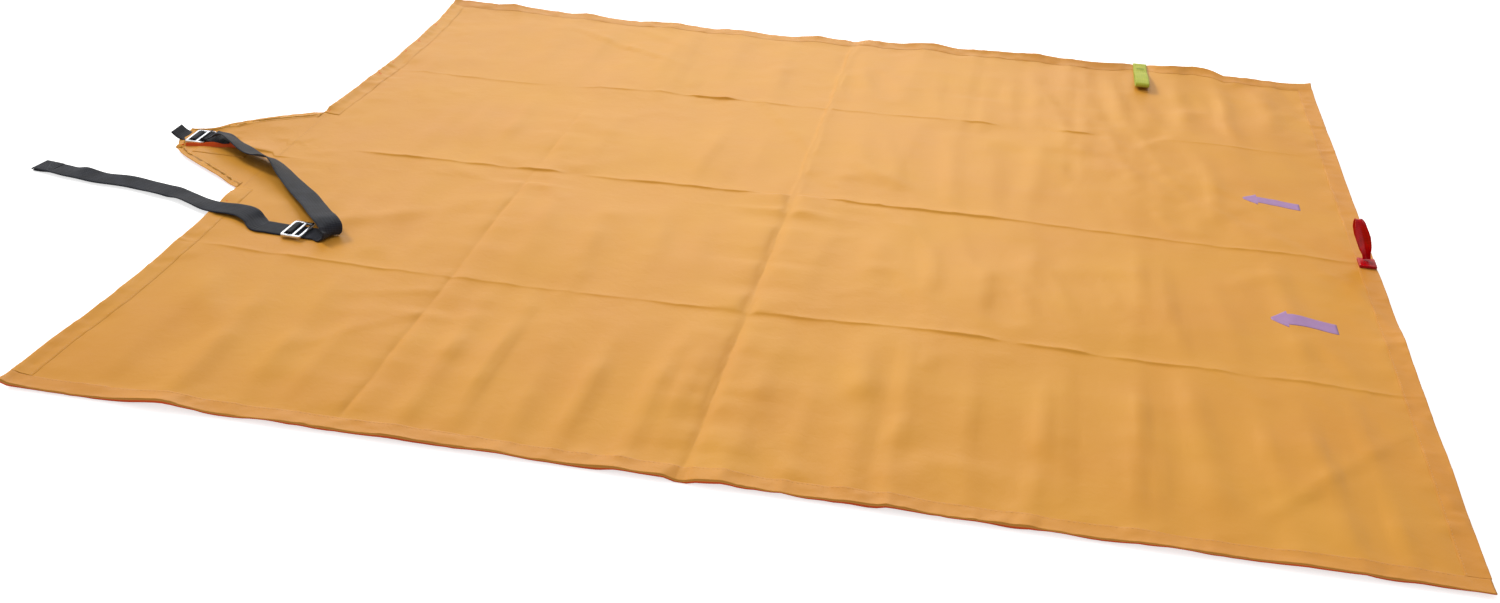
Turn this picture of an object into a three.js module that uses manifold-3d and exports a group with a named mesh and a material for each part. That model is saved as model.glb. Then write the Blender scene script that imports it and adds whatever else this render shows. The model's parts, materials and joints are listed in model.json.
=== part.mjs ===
// Rescue sheet: an orange coated cloth laid flat, with wide turned hems, a tapered tab that carries
// a metal slide and a long adjusting strap, and two webbing loops.
// Millimetres. +X runs along the length, away from the tab. +Y runs across. +Z is up.
// The origin is under the middle of the sheet and tab together, on the surface that they lie on.
import * as THREE from "three";
import { mergeVertices } from "three/addons/utils/BufferGeometryUtils.js";
import Module from "manifold-3d";

const wasm = await Module();
wasm.setup();

// ---- cloth ----
const SHEET_LENGTH = 1200;
const SHEET_WIDTH = 1120;
const CLOTH = 1.0; // one laid layer, with the air under its ripples
const HEM_WIDTH = 19;
const HEM_LAYERS = 2;
const GAP = 0.3; // between pieces that touch
const CREASE_FROM_TAB_EDGE = 584; // the fold across the middle

// ---- tab ----
const TAB_LENGTH = 120;
const TAB_BASE_WIDTH = 228;
const TAB_TIP_WIDTH = 68;
const TAB_HEM_WIDTH = 12;
const TAB_SETOFF = -20; // the tab sits this far to one side of the sheet's middle
const PATCH_LENGTH = 62;
const PATCH_TO_KEEPER = 2; // from the patch to the webbing beside it

// ---- webbing ----
const STRAP_WIDTH = 25;
const STRAP_THICK = 1.2;
const LOOP_WIDTH = 18;
const LOOP_THICK = 1.2;

// ---- stitching ----
const THREAD_WIDTH = 0.8;
const THREAD_HEIGHT = 0.4;
const SEAM_INSET = 17; // from the hem's outer edge to its line of stitches
const TAB_SEAM_INSET = 10;

// ---- metal slides: two outer bars, an inner bar, and a grip bar in the wide slot ----
const SLIDE_THICK = 2.4;
const SLIDE_RAIL = 3.2;
const SLIDE_BAR = 2.6;
const SLIDE_WIDE_SLOT = 9.4;
const SLIDE_NARROW_SLOT = 5.4;
const SLIDE_GRIP_BAR = 2.4;
const SLIDE_CORNER = 3.2;
const SLIDE_BEVEL = 0.4;
const STRAP_PLAY = 1.7; // each side of the strap in a slide

// ---- heights of the layers ----
const hemHeight = HEM_LAYERS * CLOTH;
const threadBase = hemHeight + GAP;
const webbingBase = threadBase + THREAD_HEIGHT + GAP;
const sewnTop = webbingBase + 2 * LOOP_THICK;

// ---- places worked out from the sizes ----
const xTip = -(SHEET_LENGTH + TAB_LENGTH) / 2;
const xEdge = xTip + TAB_LENGTH; // the sheet's edge that has the tab
const xEnd = xEdge + SHEET_LENGTH;
const yFar = SHEET_WIDTH / 2;
const yNear = -yFar;
const xCrease = xEdge + CREASE_FROM_TAB_EDGE;
const slideHalf = STRAP_WIDTH / 2 + STRAP_PLAY + SLIDE_RAIL;
const slideLength = 3 * SLIDE_BAR + SLIDE_WIDE_SLOT + SLIDE_NARROW_SLOT;

const finish = (color, roughness, metalness = 0) =>
  new THREE.MeshStandardMaterial({ color, roughness, metalness });
const orangeCloth = finish(0xdd9f4f, 0.55);
const orangeThread = finish(0xc98a3e, 0.7);
const darkWebbing = finish(0x33373f, 0.85);
const greenWebbing = finish(0xa9c64a, 0.7);
const redWebbing = finish(0xa50812, 0.45);
const steel = finish(0xcfd2d6, 0.28, 1);

const sheet = new THREE.Group();

// Adds one named piece to the sheet.
function piece(name, geometry, material) {
  const mesh = new THREE.Mesh(geometry, material);
  mesh.name = name;
  sheet.add(mesh);
  return mesh;
}

// A geometry as a solid that can be cut.
function solid(geometry) {
  const bare = geometry.clone().deleteAttribute("normal").deleteAttribute("uv");
  const merged = mergeVertices(bare, 1e-3);
  return new wasm.Manifold(new wasm.Mesh({
    numProp: 3,
    vertProperties: merged.attributes.position.array,
    triVerts: new Uint32Array(merged.index.array),
  }));
}

// The geometry less each of the cutters.
function cut(geometry, cutters) {
  let left = solid(geometry);
  for (const cutter of cutters) left = left.subtract(solid(cutter));
  const { vertProperties, triVerts } = left.getMesh();
  const result = new THREE.BufferGeometry();
  result.setAttribute("position", new THREE.BufferAttribute(vertProperties, 3));
  return result.setIndex(new THREE.BufferAttribute(triVerts, 1));
}

// A flat slab: an outline of [x, y] points, from z = base up through height.
function slab(points, base, height) {
  const shape = new THREE.Shape(points.map(([x, y]) => new THREE.Vector2(x, y)));
  const geometry = new THREE.ExtrudeGeometry(shape, { depth: height, bevelEnabled: false });
  return geometry.translate(0, 0, base);
}

const rectangle = (x0, x1, y0, y1) => [[x0, y0], [x1, y0], [x1, y1], [x0, y1]];

// A rectangle whose corners are arcs of radius r.
function roundedRectangle(x0, x1, y0, y1, r, steps = 4) {
  const centres = [[x1 - r, y0 + r, -90], [x1 - r, y1 - r, 0], [x0 + r, y1 - r, 90], [x0 + r, y0 + r, 180]];
  return centres.flatMap(([cx, cy, from]) =>
    Array.from({ length: steps + 1 }, (_, i) => {
      const angle = THREE.MathUtils.degToRad(from + (90 * i) / steps);
      return [cx + r * Math.cos(angle), cy + r * Math.sin(angle)];
    }));
}

// A shape drawn in (across, up), drawn out into a band that is width wide and centred on z = 0, less
// an inner shape if there is one.
function band(shape, width, inner, curveSegments = 8) {
  const drawOut = (outline, depth) => {
    const geometry = new THREE.ExtrudeGeometry(outline, { depth, bevelEnabled: false, curveSegments });
    return geometry.translate(0, 0, -depth / 2);
  };
  return inner ? cut(drawOut(shape, width), [drawOut(inner, 2 * width)]) : drawOut(shape, width);
}

// Stands a band in the plane of Y and Z, or of X and Z.
const alongX = (geometry) =>
  geometry.applyMatrix4(new THREE.Matrix4().makeBasis(
    new THREE.Vector3(0, 1, 0), new THREE.Vector3(0, 0, 1), new THREE.Vector3(1, 0, 0)));
const alongY = (geometry) => geometry.rotateX(Math.PI / 2);

// A strip of webbing seen from its edge: a smooth line of [across, up] points, given a thickness.
function stripProfile(points, thickness, steps) {
  const line = new THREE.SplineCurve(points.map(([a, b]) => new THREE.Vector2(a, b)));
  const near = [];
  const far = [];
  for (let i = 0; i <= steps; i++) {
    const at = line.getPoint(i / steps);
    const along = line.getTangent(i / steps);
    const side = new THREE.Vector2(-along.y, along.x).multiplyScalar(thickness / 2);
    near.push(at.clone().add(side));
    far.unshift(at.clone().sub(side));
  }
  return new THREE.Shape([...near, ...far]);
}

// A strip of webbing that lies free: stations of [x, y, z, angle], where z is the middle of the
// strip's thickness and angle, in degrees, is the way its width points. Closed at both ends.
function ribbon(stations, width, thickness, steps) {
  const route = new THREE.CatmullRomCurve3(
    stations.map(([x, y, z]) => new THREE.Vector3(x, y, z)), false, "centripetal");
  const corners = [];
  const index = [];
  for (let i = 0; i <= steps; i++) {
    const t = i / steps;
    const at = route.getPoint(t);
    const along = route.getTangent(t);
    const place = t * (stations.length - 1);
    const before = Math.min(Math.floor(place), stations.length - 2);
    const angle = THREE.MathUtils.degToRad(
      THREE.MathUtils.lerp(stations[before][3], stations[before + 1][3], place - before));
    const side = new THREE.Vector3(Math.cos(angle), Math.sin(angle), 0);
    side.addScaledVector(along, -side.dot(along)).normalize();
    const up = new THREE.Vector3().crossVectors(along, side).normalize();
    for (const [across, over] of [[-1, -1], [1, -1], [1, 1], [-1, 1]]) {
      const corner = at.clone().addScaledVector(side, (across * width) / 2);
      corners.push(...corner.addScaledVector(up, (over * thickness) / 2).toArray());
    }
  }
  for (let i = 0; i < steps; i++) {
    for (let k = 0; k < 4; k++) {
      const a = 4 * i + k;
      const b = 4 * i + ((k + 1) % 4);
      index.push(a, b, a + 4, b, b + 4, a + 4);
    }
  }
  const last = 4 * steps;
  index.push(0, 2, 1, 0, 3, 2, last, last + 1, last + 2, last, last + 2, last + 3);
  const geometry = new THREE.BufferGeometry();
  geometry.setAttribute("position", new THREE.Float32BufferAttribute(corners, 3));
  geometry.setIndex(index);
  return mergeVertices(geometry);
}

// ---- the sheet's two halves, which meet at the crease across the middle ----
const innerNear = yNear + HEM_WIDTH + GAP;
const innerFar = yFar - HEM_WIDTH - GAP;
const leftOfCrease = xCrease - GAP / 2;
const rightOfCrease = xCrease + GAP / 2;
const innerEdge = xEdge + HEM_WIDTH + GAP;
const innerEnd = xEnd - HEM_WIDTH - GAP;

const panels = {
  panel_tab_half: rectangle(innerEdge, leftOfCrease, innerNear, innerFar),
  panel_loop_half: rectangle(rightOfCrease, innerEnd, innerNear, innerFar),
};
for (const [name, outline] of Object.entries(panels)) piece(name, slab(outline, 0, CLOTH), orangeCloth);

// ---- turned hems ----
const tabHalfAtEdge = TAB_BASE_WIDTH / 2;
const tabHalfAtTip = TAB_TIP_WIDTH / 2;
const hems = {
  hem_near_tab_half: rectangle(xEdge, leftOfCrease, yNear, yNear + HEM_WIDTH),
  hem_near_loop_half: rectangle(rightOfCrease, xEnd, yNear, yNear + HEM_WIDTH),
  hem_far_tab_half: rectangle(xEdge, leftOfCrease, yFar - HEM_WIDTH, yFar),
  hem_far_loop_half: rectangle(rightOfCrease, xEnd, yFar - HEM_WIDTH, yFar),
  hem_end: rectangle(xEnd - HEM_WIDTH, xEnd, innerNear, innerFar),
  hem_tab_edge_near: rectangle(xEdge, xEdge + HEM_WIDTH, innerNear, TAB_SETOFF - tabHalfAtEdge - GAP),
  hem_tab_edge_far: rectangle(xEdge, xEdge + HEM_WIDTH, TAB_SETOFF + tabHalfAtEdge + GAP, innerFar),
};
for (const [name, outline] of Object.entries(hems)) piece(name, slab(outline, 0, hemHeight), orangeCloth);

// ---- lines of stitches along the hems ----
const halfThread = THREAD_WIDTH / 2;
const seamNear = yNear + SEAM_INSET;
const seamFar = yFar - SEAM_INSET;
const seamEdge = xEdge + SEAM_INSET;
const seamEnd = xEnd - SEAM_INSET;
const pastCorner = halfThread + GAP; // a seam stops this far from the one that crosses it
const seamAlongX = (x0, x1, y) => rectangle(x0, x1, y - halfThread, y + halfThread);
const seamAlongY = (x, y0, y1) => rectangle(x - halfThread, x + halfThread, y0, y1);
const seams = {
  stitching_near_tab_half: seamAlongX(seamEdge - halfThread, leftOfCrease, seamNear),
  stitching_near_loop_half: seamAlongX(rightOfCrease, seamEnd + halfThread, seamNear),
  stitching_far_tab_half: seamAlongX(seamEdge - halfThread, leftOfCrease, seamFar),
  stitching_far_loop_half: seamAlongX(rightOfCrease, seamEnd + halfThread, seamFar),
  stitching_end: seamAlongY(seamEnd, seamNear + pastCorner, seamFar - pastCorner),
  stitching_tab_edge_near: seamAlongY(seamEdge, seamNear + pastCorner, TAB_SETOFF - tabHalfAtEdge - GAP),
  stitching_tab_edge_far: seamAlongY(seamEdge, TAB_SETOFF + tabHalfAtEdge + GAP, seamFar - pastCorner),
};
for (const [name, outline] of Object.entries(seams)) {
  piece(name, slab(outline, threadBase, THREAD_HEIGHT), orangeThread);
}

// ---- tab: one layer with its own narrow hems, tapering from the sheet's edge to the tip ----
const taper = (tabHalfAtEdge - tabHalfAtTip) / TAB_LENGTH;
const tabHalf = (x) => tabHalfAtTip + taper * (x - xTip);
const tabHemAcross = TAB_HEM_WIDTH * Math.hypot(1, taper); // measured along Y
const xTipHem = xTip + TAB_HEM_WIDTH;
const xSideHem = xTipHem + GAP;
const tabPoint = (x, side, inset) => [x, TAB_SETOFF + side * (tabHalf(x) - inset)];
const tabHem = (side) => [
  tabPoint(xEdge, side, 0),
  tabPoint(xSideHem, side, 0),
  tabPoint(xSideHem, side, tabHemAcross),
  tabPoint(xEdge, side, tabHemAcross),
];
piece("tab_hem_near", slab(tabHem(-1).reverse(), 0, hemHeight), orangeCloth);
piece("tab_hem_far", slab(tabHem(1), 0, hemHeight), orangeCloth);
const tipHem = [
  tabPoint(xTip, -1, 0),
  tabPoint(xTipHem, -1, 0),
  tabPoint(xTipHem, 1, 0),
  tabPoint(xTip, 1, 0),
];
piece("tab_hem_tip", slab(tipHem, 0, hemHeight), orangeCloth);
const tabInner = tabHemAcross + GAP;
const xRoot = xEdge + GAP; // from here in, the tab's root is as wide as its base
piece(
  "tab_panel",
  slab(
    [
      tabPoint(xSideHem, -1, tabInner),
      tabPoint(xRoot, -1, tabInner),
      [xRoot, TAB_SETOFF - tabHalfAtEdge],
      [xEdge + HEM_WIDTH, TAB_SETOFF - tabHalfAtEdge],
      [xEdge + HEM_WIDTH, TAB_SETOFF + tabHalfAtEdge],
      [xRoot, TAB_SETOFF + tabHalfAtEdge],
      tabPoint(xRoot, 1, tabInner),
      tabPoint(xSideHem, 1, tabInner),
    ],
    0, CLOTH),
  orangeCloth,
);

// The tab's own stitches, a line down each side.
const tabSeamAcross = TAB_SEAM_INSET * Math.hypot(1, taper);
const threadAcross = THREAD_WIDTH * Math.hypot(1, taper);
for (const [name, side] of [["stitching_tab_near", -1], ["stitching_tab_far", 1]]) {
  const line = [
    tabPoint(xEdge, side, tabSeamAcross),
    tabPoint(xSideHem, side, tabSeamAcross),
    tabPoint(xSideHem, side, tabSeamAcross + threadAcross),
    tabPoint(xEdge, side, tabSeamAcross + threadAcross),
  ];
  piece(name, slab(side < 0 ? line.reverse() : line, threadBase, THREAD_HEIGHT), orangeThread);
}

// A bare patch of the same cloth sewn on the tab's near half.
const patchX = xEdge - TAB_LENGTH / 2;
const patchNear = TAB_SETOFF - tabHalf(patchX - PATCH_LENGTH / 2) + tabInner + GAP;
const patchFar = TAB_SETOFF - STRAP_WIDTH / 2 - PATCH_TO_KEEPER;
const patchFrom = patchX - PATCH_LENGTH / 2;
const patchTo = patchX + PATCH_LENGTH / 2;
const patchBase = CLOTH + GAP;
piece("tab_patch", slab(rectangle(patchFrom, patchTo, patchNear, patchFar), patchBase, CLOTH), orangeCloth);

// ---- a stamped slide, centred in Y, from x = 0 (its first outer bar) to slideLength ----
const slideWideFrom = SLIDE_BAR;
const slideGripFrom = slideWideFrom + (SLIDE_WIDE_SLOT - SLIDE_GRIP_BAR) / 2;
const slideGripTo = slideGripFrom + SLIDE_GRIP_BAR;
const slideInnerFrom = slideWideFrom + SLIDE_WIDE_SLOT;
const slideNarrowFrom = slideInnerFrom + SLIDE_BAR;
const slideNarrowTo = slideNarrowFrom + SLIDE_NARROW_SLOT;
function slideFrame() {
  const outline = roundedRectangle(0, slideLength, -slideHalf, slideHalf, SLIDE_CORNER);
  const plate = new THREE.ExtrudeGeometry(
    new THREE.Shape(outline.map(([x, y]) => new THREE.Vector2(x, y))),
    {
      depth: SLIDE_THICK - 2 * SLIDE_BEVEL,
      bevelThickness: SLIDE_BEVEL,
      bevelSize: SLIDE_BEVEL,
      bevelOffset: -SLIDE_BEVEL,
      bevelSegments: 1,
    },
  ).translate(0, 0, SLIDE_BEVEL - SLIDE_THICK / 2);
  const slots = [
    [slideWideFrom, slideGripFrom],
    [slideGripTo, slideInnerFrom],
    [slideNarrowFrom, slideNarrowTo],
  ];
  const slotLength = 2 * (slideHalf - SLIDE_RAIL);
  return cut(plate, slots.map(([from, to]) =>
    new THREE.BoxGeometry(to - from, slotLength, 2 * SLIDE_THICK).translate((from + to) / 2, 0, 0)));
}

// ---- tab slide, held by a keeper of webbing round its last bar, which it swings on ----
const underBars = -SLIDE_THICK / 2 - GAP - STRAP_THICK / 2; // the strap's middle, from the slide's
const overBars = -underBars;
const keeperHole = Math.hypot(SLIDE_BAR, SLIDE_THICK) / 2 + GAP;
const keeperOuter = keeperHole + STRAP_THICK;
const pivotX = xTip + 30;
const pivotZ = hemHeight + GAP + STRAP_THICK / 2 - underBars; // the strap clears the hem under the slide
const tabSlide = piece("tab_slide", slideFrame(), steel);
tabSlide.position.set(pivotX + SLIDE_BAR / 2 - slideLength, TAB_SETOFF, pivotZ);

const KEEPER_SEWN_FROM = 11; // from the bar to where the keeper's two layers lie together
const KEEPER_SEWN_LENGTH = 18;
const keeperBase = CLOTH + GAP;
const keeperTop = keeperBase + 2 * STRAP_THICK;
const keeperEnd = KEEPER_SEWN_FROM + KEEPER_SEWN_LENGTH;
// The upper layer leaves the bar's loop along the line that just touches it.
const toSewn = new THREE.Vector2(KEEPER_SEWN_FROM, keeperTop - pivotZ);
const touch = toSewn.angle() - 2 * Math.PI + Math.acos(keeperOuter / toSewn.length());
const keeper = new THREE.Shape();
keeper.moveTo(-keeperOuter / 2, keeperBase - pivotZ);
keeper.lineTo(keeperEnd, keeperBase - pivotZ);
keeper.lineTo(keeperEnd, toSewn.y);
keeper.lineTo(toSewn.x, toSewn.y);
keeper.absarc(0, 0, keeperOuter, touch, Math.PI, false);
const keeperBore = new THREE.Shape().absarc(0, 0, keeperHole, 0, 2 * Math.PI, false);
const keeperMesh = piece("slide_keeper", alongY(band(keeper, STRAP_WIDTH, keeperBore)), darkWebbing);
keeperMesh.position.set(pivotX, TAB_SETOFF, pivotZ);
const tackFrom = pivotX + KEEPER_SEWN_FROM + 2;
const tackHalf = STRAP_WIDTH / 2 - 2;
piece(
  "keeper_bar_tack",
  slab(
    rectangle(tackFrom, tackFrom + KEEPER_SEWN_LENGTH - 4, TAB_SETOFF - tackHalf, TAB_SETOFF + tackHalf),
    keeperTop + GAP, THREAD_HEIGHT),
  darkWebbing,
);

// ---- strap ----
// The short end that is threaded through the tab slide and rides with it: over the keeper, down the
// narrow slot, under the inner bar, over the grip bar, under the first bar and out, rising.
const fromPivot = (x) => x - (slideLength - SLIDE_BAR / 2);
const overKeeper = keeperOuter + GAP + STRAP_THICK / 2;
const TAIL_LENGTH = 18;
const TAIL_RISE = 10;
const roundCorner = 0.75 * (STRAP_THICK / 2 + GAP); // the strap's middle, from a bar's corner
const cornerZ = SLIDE_THICK / 2 + roundCorner;
const tail = stripProfile(
  [
    [-1, overKeeper],
    [-3.2, 2.9],
    [fromPivot(slideNarrowFrom) + 1.2, 0],
    [fromPivot(slideNarrowFrom) + roundCorner, -cornerZ],
    [fromPivot(slideInnerFrom + SLIDE_BAR / 2), underBars],
    [fromPivot(slideInnerFrom) - roundCorner, -cornerZ],
    [fromPivot((slideGripTo + slideInnerFrom) / 2), 0],
    [fromPivot(slideGripTo) + roundCorner, cornerZ],
    [fromPivot((slideGripFrom + slideGripTo) / 2), overBars],
    [fromPivot(slideGripFrom) - roundCorner, cornerZ],
    [fromPivot((slideWideFrom + slideGripFrom) / 2), 0],
    [fromPivot(slideWideFrom) + roundCorner, -cornerZ],
    [fromPivot(SLIDE_BAR / 2), underBars],
    [fromPivot(-6), underBars + 1.5],
    [fromPivot(-TAIL_LENGTH / 2 - 3), underBars + TAIL_RISE / 2],
    [fromPivot(-TAIL_LENGTH), underBars + TAIL_RISE],
  ],
  STRAP_THICK, 75);
const tailMesh = piece("strap_tail", alongY(band(tail, STRAP_WIDTH)), darkWebbing);
tailMesh.position.set(pivotX, TAB_SETOFF, pivotZ);

// The long run lies free: off the keeper in a low arch, across the tab's root, over and under in a
// roll beside the loose slide, back over the sheet's edge, and out across the floor.
const runStart = pivotX + keeperOuter + 2.4;
const STRAIGHT_HEADING = 177; // of the stretch that the loose slide runs on
const STRAIGHT_MIDDLE = [-432, -218];
const STRAIGHT_Z = CLOTH + GAP + STRAP_THICK / 2 + 0.3;
const straightAlong = [
  Math.cos(THREE.MathUtils.degToRad(STRAIGHT_HEADING)),
  Math.sin(THREE.MathUtils.degToRad(STRAIGHT_HEADING)),
];
const onStraight = (distance) => [
  STRAIGHT_MIDDLE[0] + distance * straightAlong[0],
  STRAIGHT_MIDDLE[1] + distance * straightAlong[1],
];
const strapRun = [
  [runStart, TAB_SETOFF, pivotZ + overKeeper, 90],
  [-616, -21, 11, 88],
  [-603, -25, 14, 82],
  [-589, -33, 15, 70],
  [-571, -45, 13.5, 62],
  [-553, -57, 11, 58],
  [-535, -70, 9, 52],
  [-512, -91, 8, 45],
  [-489, -114, 7, 43],
  [-465, -140, 8, 42],
  [-438, -170, 11, 41],
  [-413, -198, 16, 40],
  [-398, -215, 18.5, 42],
  [-390, -223, 13, 50],
  [-390, -225, 7, 62],
  [-396, -224, 3.4, 74],
  [...onStraight(-26), STRAIGHT_Z + 0.3, 84],
  [...onStraight(-16), STRAIGHT_Z, 87],
  [...onStraight(0), STRAIGHT_Z, 87],
  [...onStraight(18), STRAIGHT_Z, 87],
  [...onStraight(38), STRAIGHT_Z, 87],
  [-484, -207, 6.5, 62],
  [-498, -195, 7, 52],
  [-513, -185, 5, 74],
  [-531, -181, 4.6, 86],
  [-553, -178, 4.2, 82],
  [-573, -171, 5, 68],
  [-594, -161, 5, 66],
  [-613, -155, 3, 78],
  [-634, -153, 5, 84],
  [-655, -150, 4, 82],
  [-681, -146, 3, 82],
  [-704, -143.5, 5, 84],
  [-728, -141, 3, 84],
  [-749, -139, 1.4, 84],
  [-768, -137, 1.2, 84],
];
piece("strap", ribbon(strapRun, STRAP_WIDTH, STRAP_THICK, 78), darkWebbing);

// The strap's free end is turned back on itself and sewn.
const END_FOLD = 22;
const [endX, endY, endZ, endAngle] = strapRun[strapRun.length - 1];
const endFold = piece(
  "strap_end_fold",
  slab(rectangle(0, END_FOLD, -STRAP_WIDTH / 2, STRAP_WIDTH / 2), 0, STRAP_THICK),
  darkWebbing,
);
endFold.rotation.z = THREE.MathUtils.degToRad(endAngle - 90);
endFold.position.set(endX, endY, endZ + STRAP_THICK + 2 * GAP);

// ---- loose slide, and the fold of strap over its grip bar ----
const looseZ = STRAIGHT_Z + STRAP_THICK / 2 + GAP + SLIDE_THICK / 2;
const loose = new THREE.Group();
loose.rotation.z = THREE.MathUtils.degToRad(STRAIGHT_HEADING - 180);
loose.position.set(STRAIGHT_MIDDLE[0], STRAIGHT_MIDDLE[1], looseZ);
const looseFrame = new THREE.Mesh(slideFrame(), steel);
looseFrame.name = "loose_slide";
looseFrame.position.x = -slideLength / 2;
const gripMiddle = (slideGripFrom + slideGripTo) / 2 - slideLength / 2;
const gripSide = SLIDE_GRIP_BAR / 2 + GAP + STRAP_THICK / 2;
const foldFoot = -SLIDE_THICK / 2 + STRAP_THICK / 2;
const gripCorner = SLIDE_GRIP_BAR / 2 + roundCorner;
const fold = stripProfile(
  [
    [-gripSide - 0.5, foldFoot],
    [-gripSide, 0],
    [-gripCorner, cornerZ],
    [0, overBars],
    [gripCorner, cornerZ],
    [gripSide, 0],
    [gripSide + 0.5, foldFoot],
  ],
  STRAP_THICK, 24);
const strapFold = new THREE.Mesh(alongY(band(fold, STRAP_WIDTH)), darkWebbing);
strapFold.name = "strap_fold";
strapFold.position.x = gripMiddle;
loose.add(looseFrame, strapFold);
sheet.add(loose);

// ---- webbing loops ----
// Each is one strip folded in two. Its two ends are sewn down together, and the rest swings.
const GREEN_FROM_END = 225; // from the sheet's plain end to the loop's middle
const GREEN_SEWN = 15;
const GREEN_REACH = 73;
const RED_SETOFF = 0.5; // of the sewn ends' middle, from the sheet's long centre line
const RED_SEWN = 20;
const RED_HEIGHT = 44;
const RED_HALF_OPENING = 7;
const RED_LEAN = 20; // degrees, in over the sheet
const TACK_HALF = 6;

const halfLoop = LOOP_WIDTH / 2;
const greenX = xEnd - GREEN_FROM_END;
const greenHingeY = yFar - GREEN_SEWN;
const greenSewn = rectangle(greenX - halfLoop, greenX + halfLoop, greenHingeY, yFar);
const greenTack = rectangle(greenX - TACK_HALF, greenX + TACK_HALF, greenHingeY + 4, yFar - 4);
piece("green_loop_sewn_end", slab(greenSewn, webbingBase, 2 * LOOP_THICK), greenWebbing);
piece("green_loop_bar_tack", slab(greenTack, sewnTop + GAP, THREAD_HEIGHT), greenWebbing);

// The free part, drawn from its hinge line inwards: s along the sheet, z up.
const neck = sewnTop - 1.0;
const greenOuter = new THREE.Shape();
greenOuter.moveTo(0, webbingBase);
greenOuter.lineTo(0, neck);
greenOuter.lineTo(0.68 * GREEN_REACH, neck + 0.165 * 0.68 * GREEN_REACH);
greenOuter.bezierCurveTo(
  0.86 * GREEN_REACH, neck + 9.2, GREEN_REACH, neck + 7.6, GREEN_REACH, neck + 4.2);
greenOuter.bezierCurveTo(
  GREEN_REACH, neck + 1.2, 0.9 * GREEN_REACH, webbingBase, 0.78 * GREEN_REACH, webbingBase);
const greenInner = new THREE.Shape();
const greenTip = GREEN_REACH - LOOP_THICK;
greenInner.moveTo(14, webbingBase + LOOP_THICK);
greenInner.lineTo(0.78 * GREEN_REACH, webbingBase + LOOP_THICK);
greenInner.bezierCurveTo(
  0.88 * GREEN_REACH, webbingBase + LOOP_THICK, greenTip, neck + 1.8, greenTip, neck + 4.2);
greenInner.bezierCurveTo(
  greenTip, neck + 6.6, 0.85 * GREEN_REACH, neck + 9.2 - LOOP_THICK,
  0.67 * GREEN_REACH, neck + 0.165 * 0.68 * GREEN_REACH - LOOP_THICK);
greenInner.closePath();
const greenLoop = piece("green_loop", alongX(band(greenOuter, LOOP_WIDTH, greenInner)), greenWebbing);
greenLoop.rotation.z = Math.PI;
greenLoop.position.set(greenX, greenHingeY - GAP, 0);

const redX = xEnd - halfLoop;
const redNear = RED_SETOFF - RED_SEWN / 2;
const redFar = RED_SETOFF + RED_SEWN / 2;
const redSewn = rectangle(redX - halfLoop, redX + halfLoop, redNear, redFar);
const redTack = rectangle(redX - TACK_HALF, redX + TACK_HALF, redNear + 3, redFar - 9);
piece("red_loop_sewn_end", slab(redSewn, webbingBase, 2 * LOOP_THICK), redWebbing);
piece("red_loop_bar_tack", slab(redTack, sewnTop + GAP, THREAD_HEIGHT), redWebbing);

// The free part stands on a round foot, which is its hinge line, and leans in over the sheet.
const redFoot = LOOP_THICK;
const redHingeY = redFar - 4;
const redHingeZ = sewnTop + GAP + redFoot;
const drop = (half, foot, top) => {
  const path = new THREE.Path();
  path.moveTo(-foot, 0.5);
  path.bezierCurveTo(-foot, 0.3 * top, -half, 0.4 * top, -half, 0.66 * top);
  path.bezierCurveTo(-half, 0.9 * top, -0.5 * half, top, 0, top);
  path.bezierCurveTo(0.5 * half, top, half, 0.9 * top, half, 0.66 * top);
  path.bezierCurveTo(half, 0.4 * top, foot, 0.3 * top, foot, 0.5);
  return path;
};
const redOuter = new THREE.Shape(drop(RED_HALF_OPENING, redFoot, RED_HEIGHT - redFoot).getPoints(6));
redOuter.absarc(0, 0, redFoot, 0, -Math.PI, true);
const redInner = new THREE.Shape();
const innerHalf = RED_HALF_OPENING - LOOP_THICK;
const innerTop = RED_HEIGHT - redFoot - LOOP_THICK;
redInner.moveTo(0, 10);
redInner.bezierCurveTo(-0.6 * innerHalf, 17, -innerHalf, 20, -innerHalf, 0.66 * innerTop);
redInner.bezierCurveTo(-innerHalf, 0.9 * innerTop, -0.5 * innerHalf, innerTop, 0, innerTop);
redInner.bezierCurveTo(0.5 * innerHalf, innerTop, innerHalf, 0.9 * innerTop, innerHalf, 0.66 * innerTop);
redInner.bezierCurveTo(innerHalf, 20, 0.6 * innerHalf, 17, 0, 10);
const lean = Math.tan(THREE.MathUtils.degToRad(RED_LEAN));
const redGeometry = alongX(band(redOuter, LOOP_WIDTH, redInner));
redGeometry.applyMatrix4(new THREE.Matrix4().makeShear(0, 0, 0, 0, -lean, 0));
const redLoop = piece("red_loop", redGeometry, redWebbing);
redLoop.position.set(redX, redHingeY, redHingeZ);

export default sheet;
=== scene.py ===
"""Rescue sheet, the visual model: cloth, hems, stitches, strap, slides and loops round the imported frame.

Lengths in the classes are millimetres, as on a pattern; MM turns them to metres where a mesh is made.
A place on the cloth is (u, v), its x and y before the cloth was laid, and Cloth turns that to a point.
"""

import json
import logging
import math
from collections.abc import Callable
from dataclasses import dataclass, field
from enum import Enum
from functools import partial

import bmesh
import bpy
import numpy as np
from mathutils import Matrix, Vector

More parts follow.
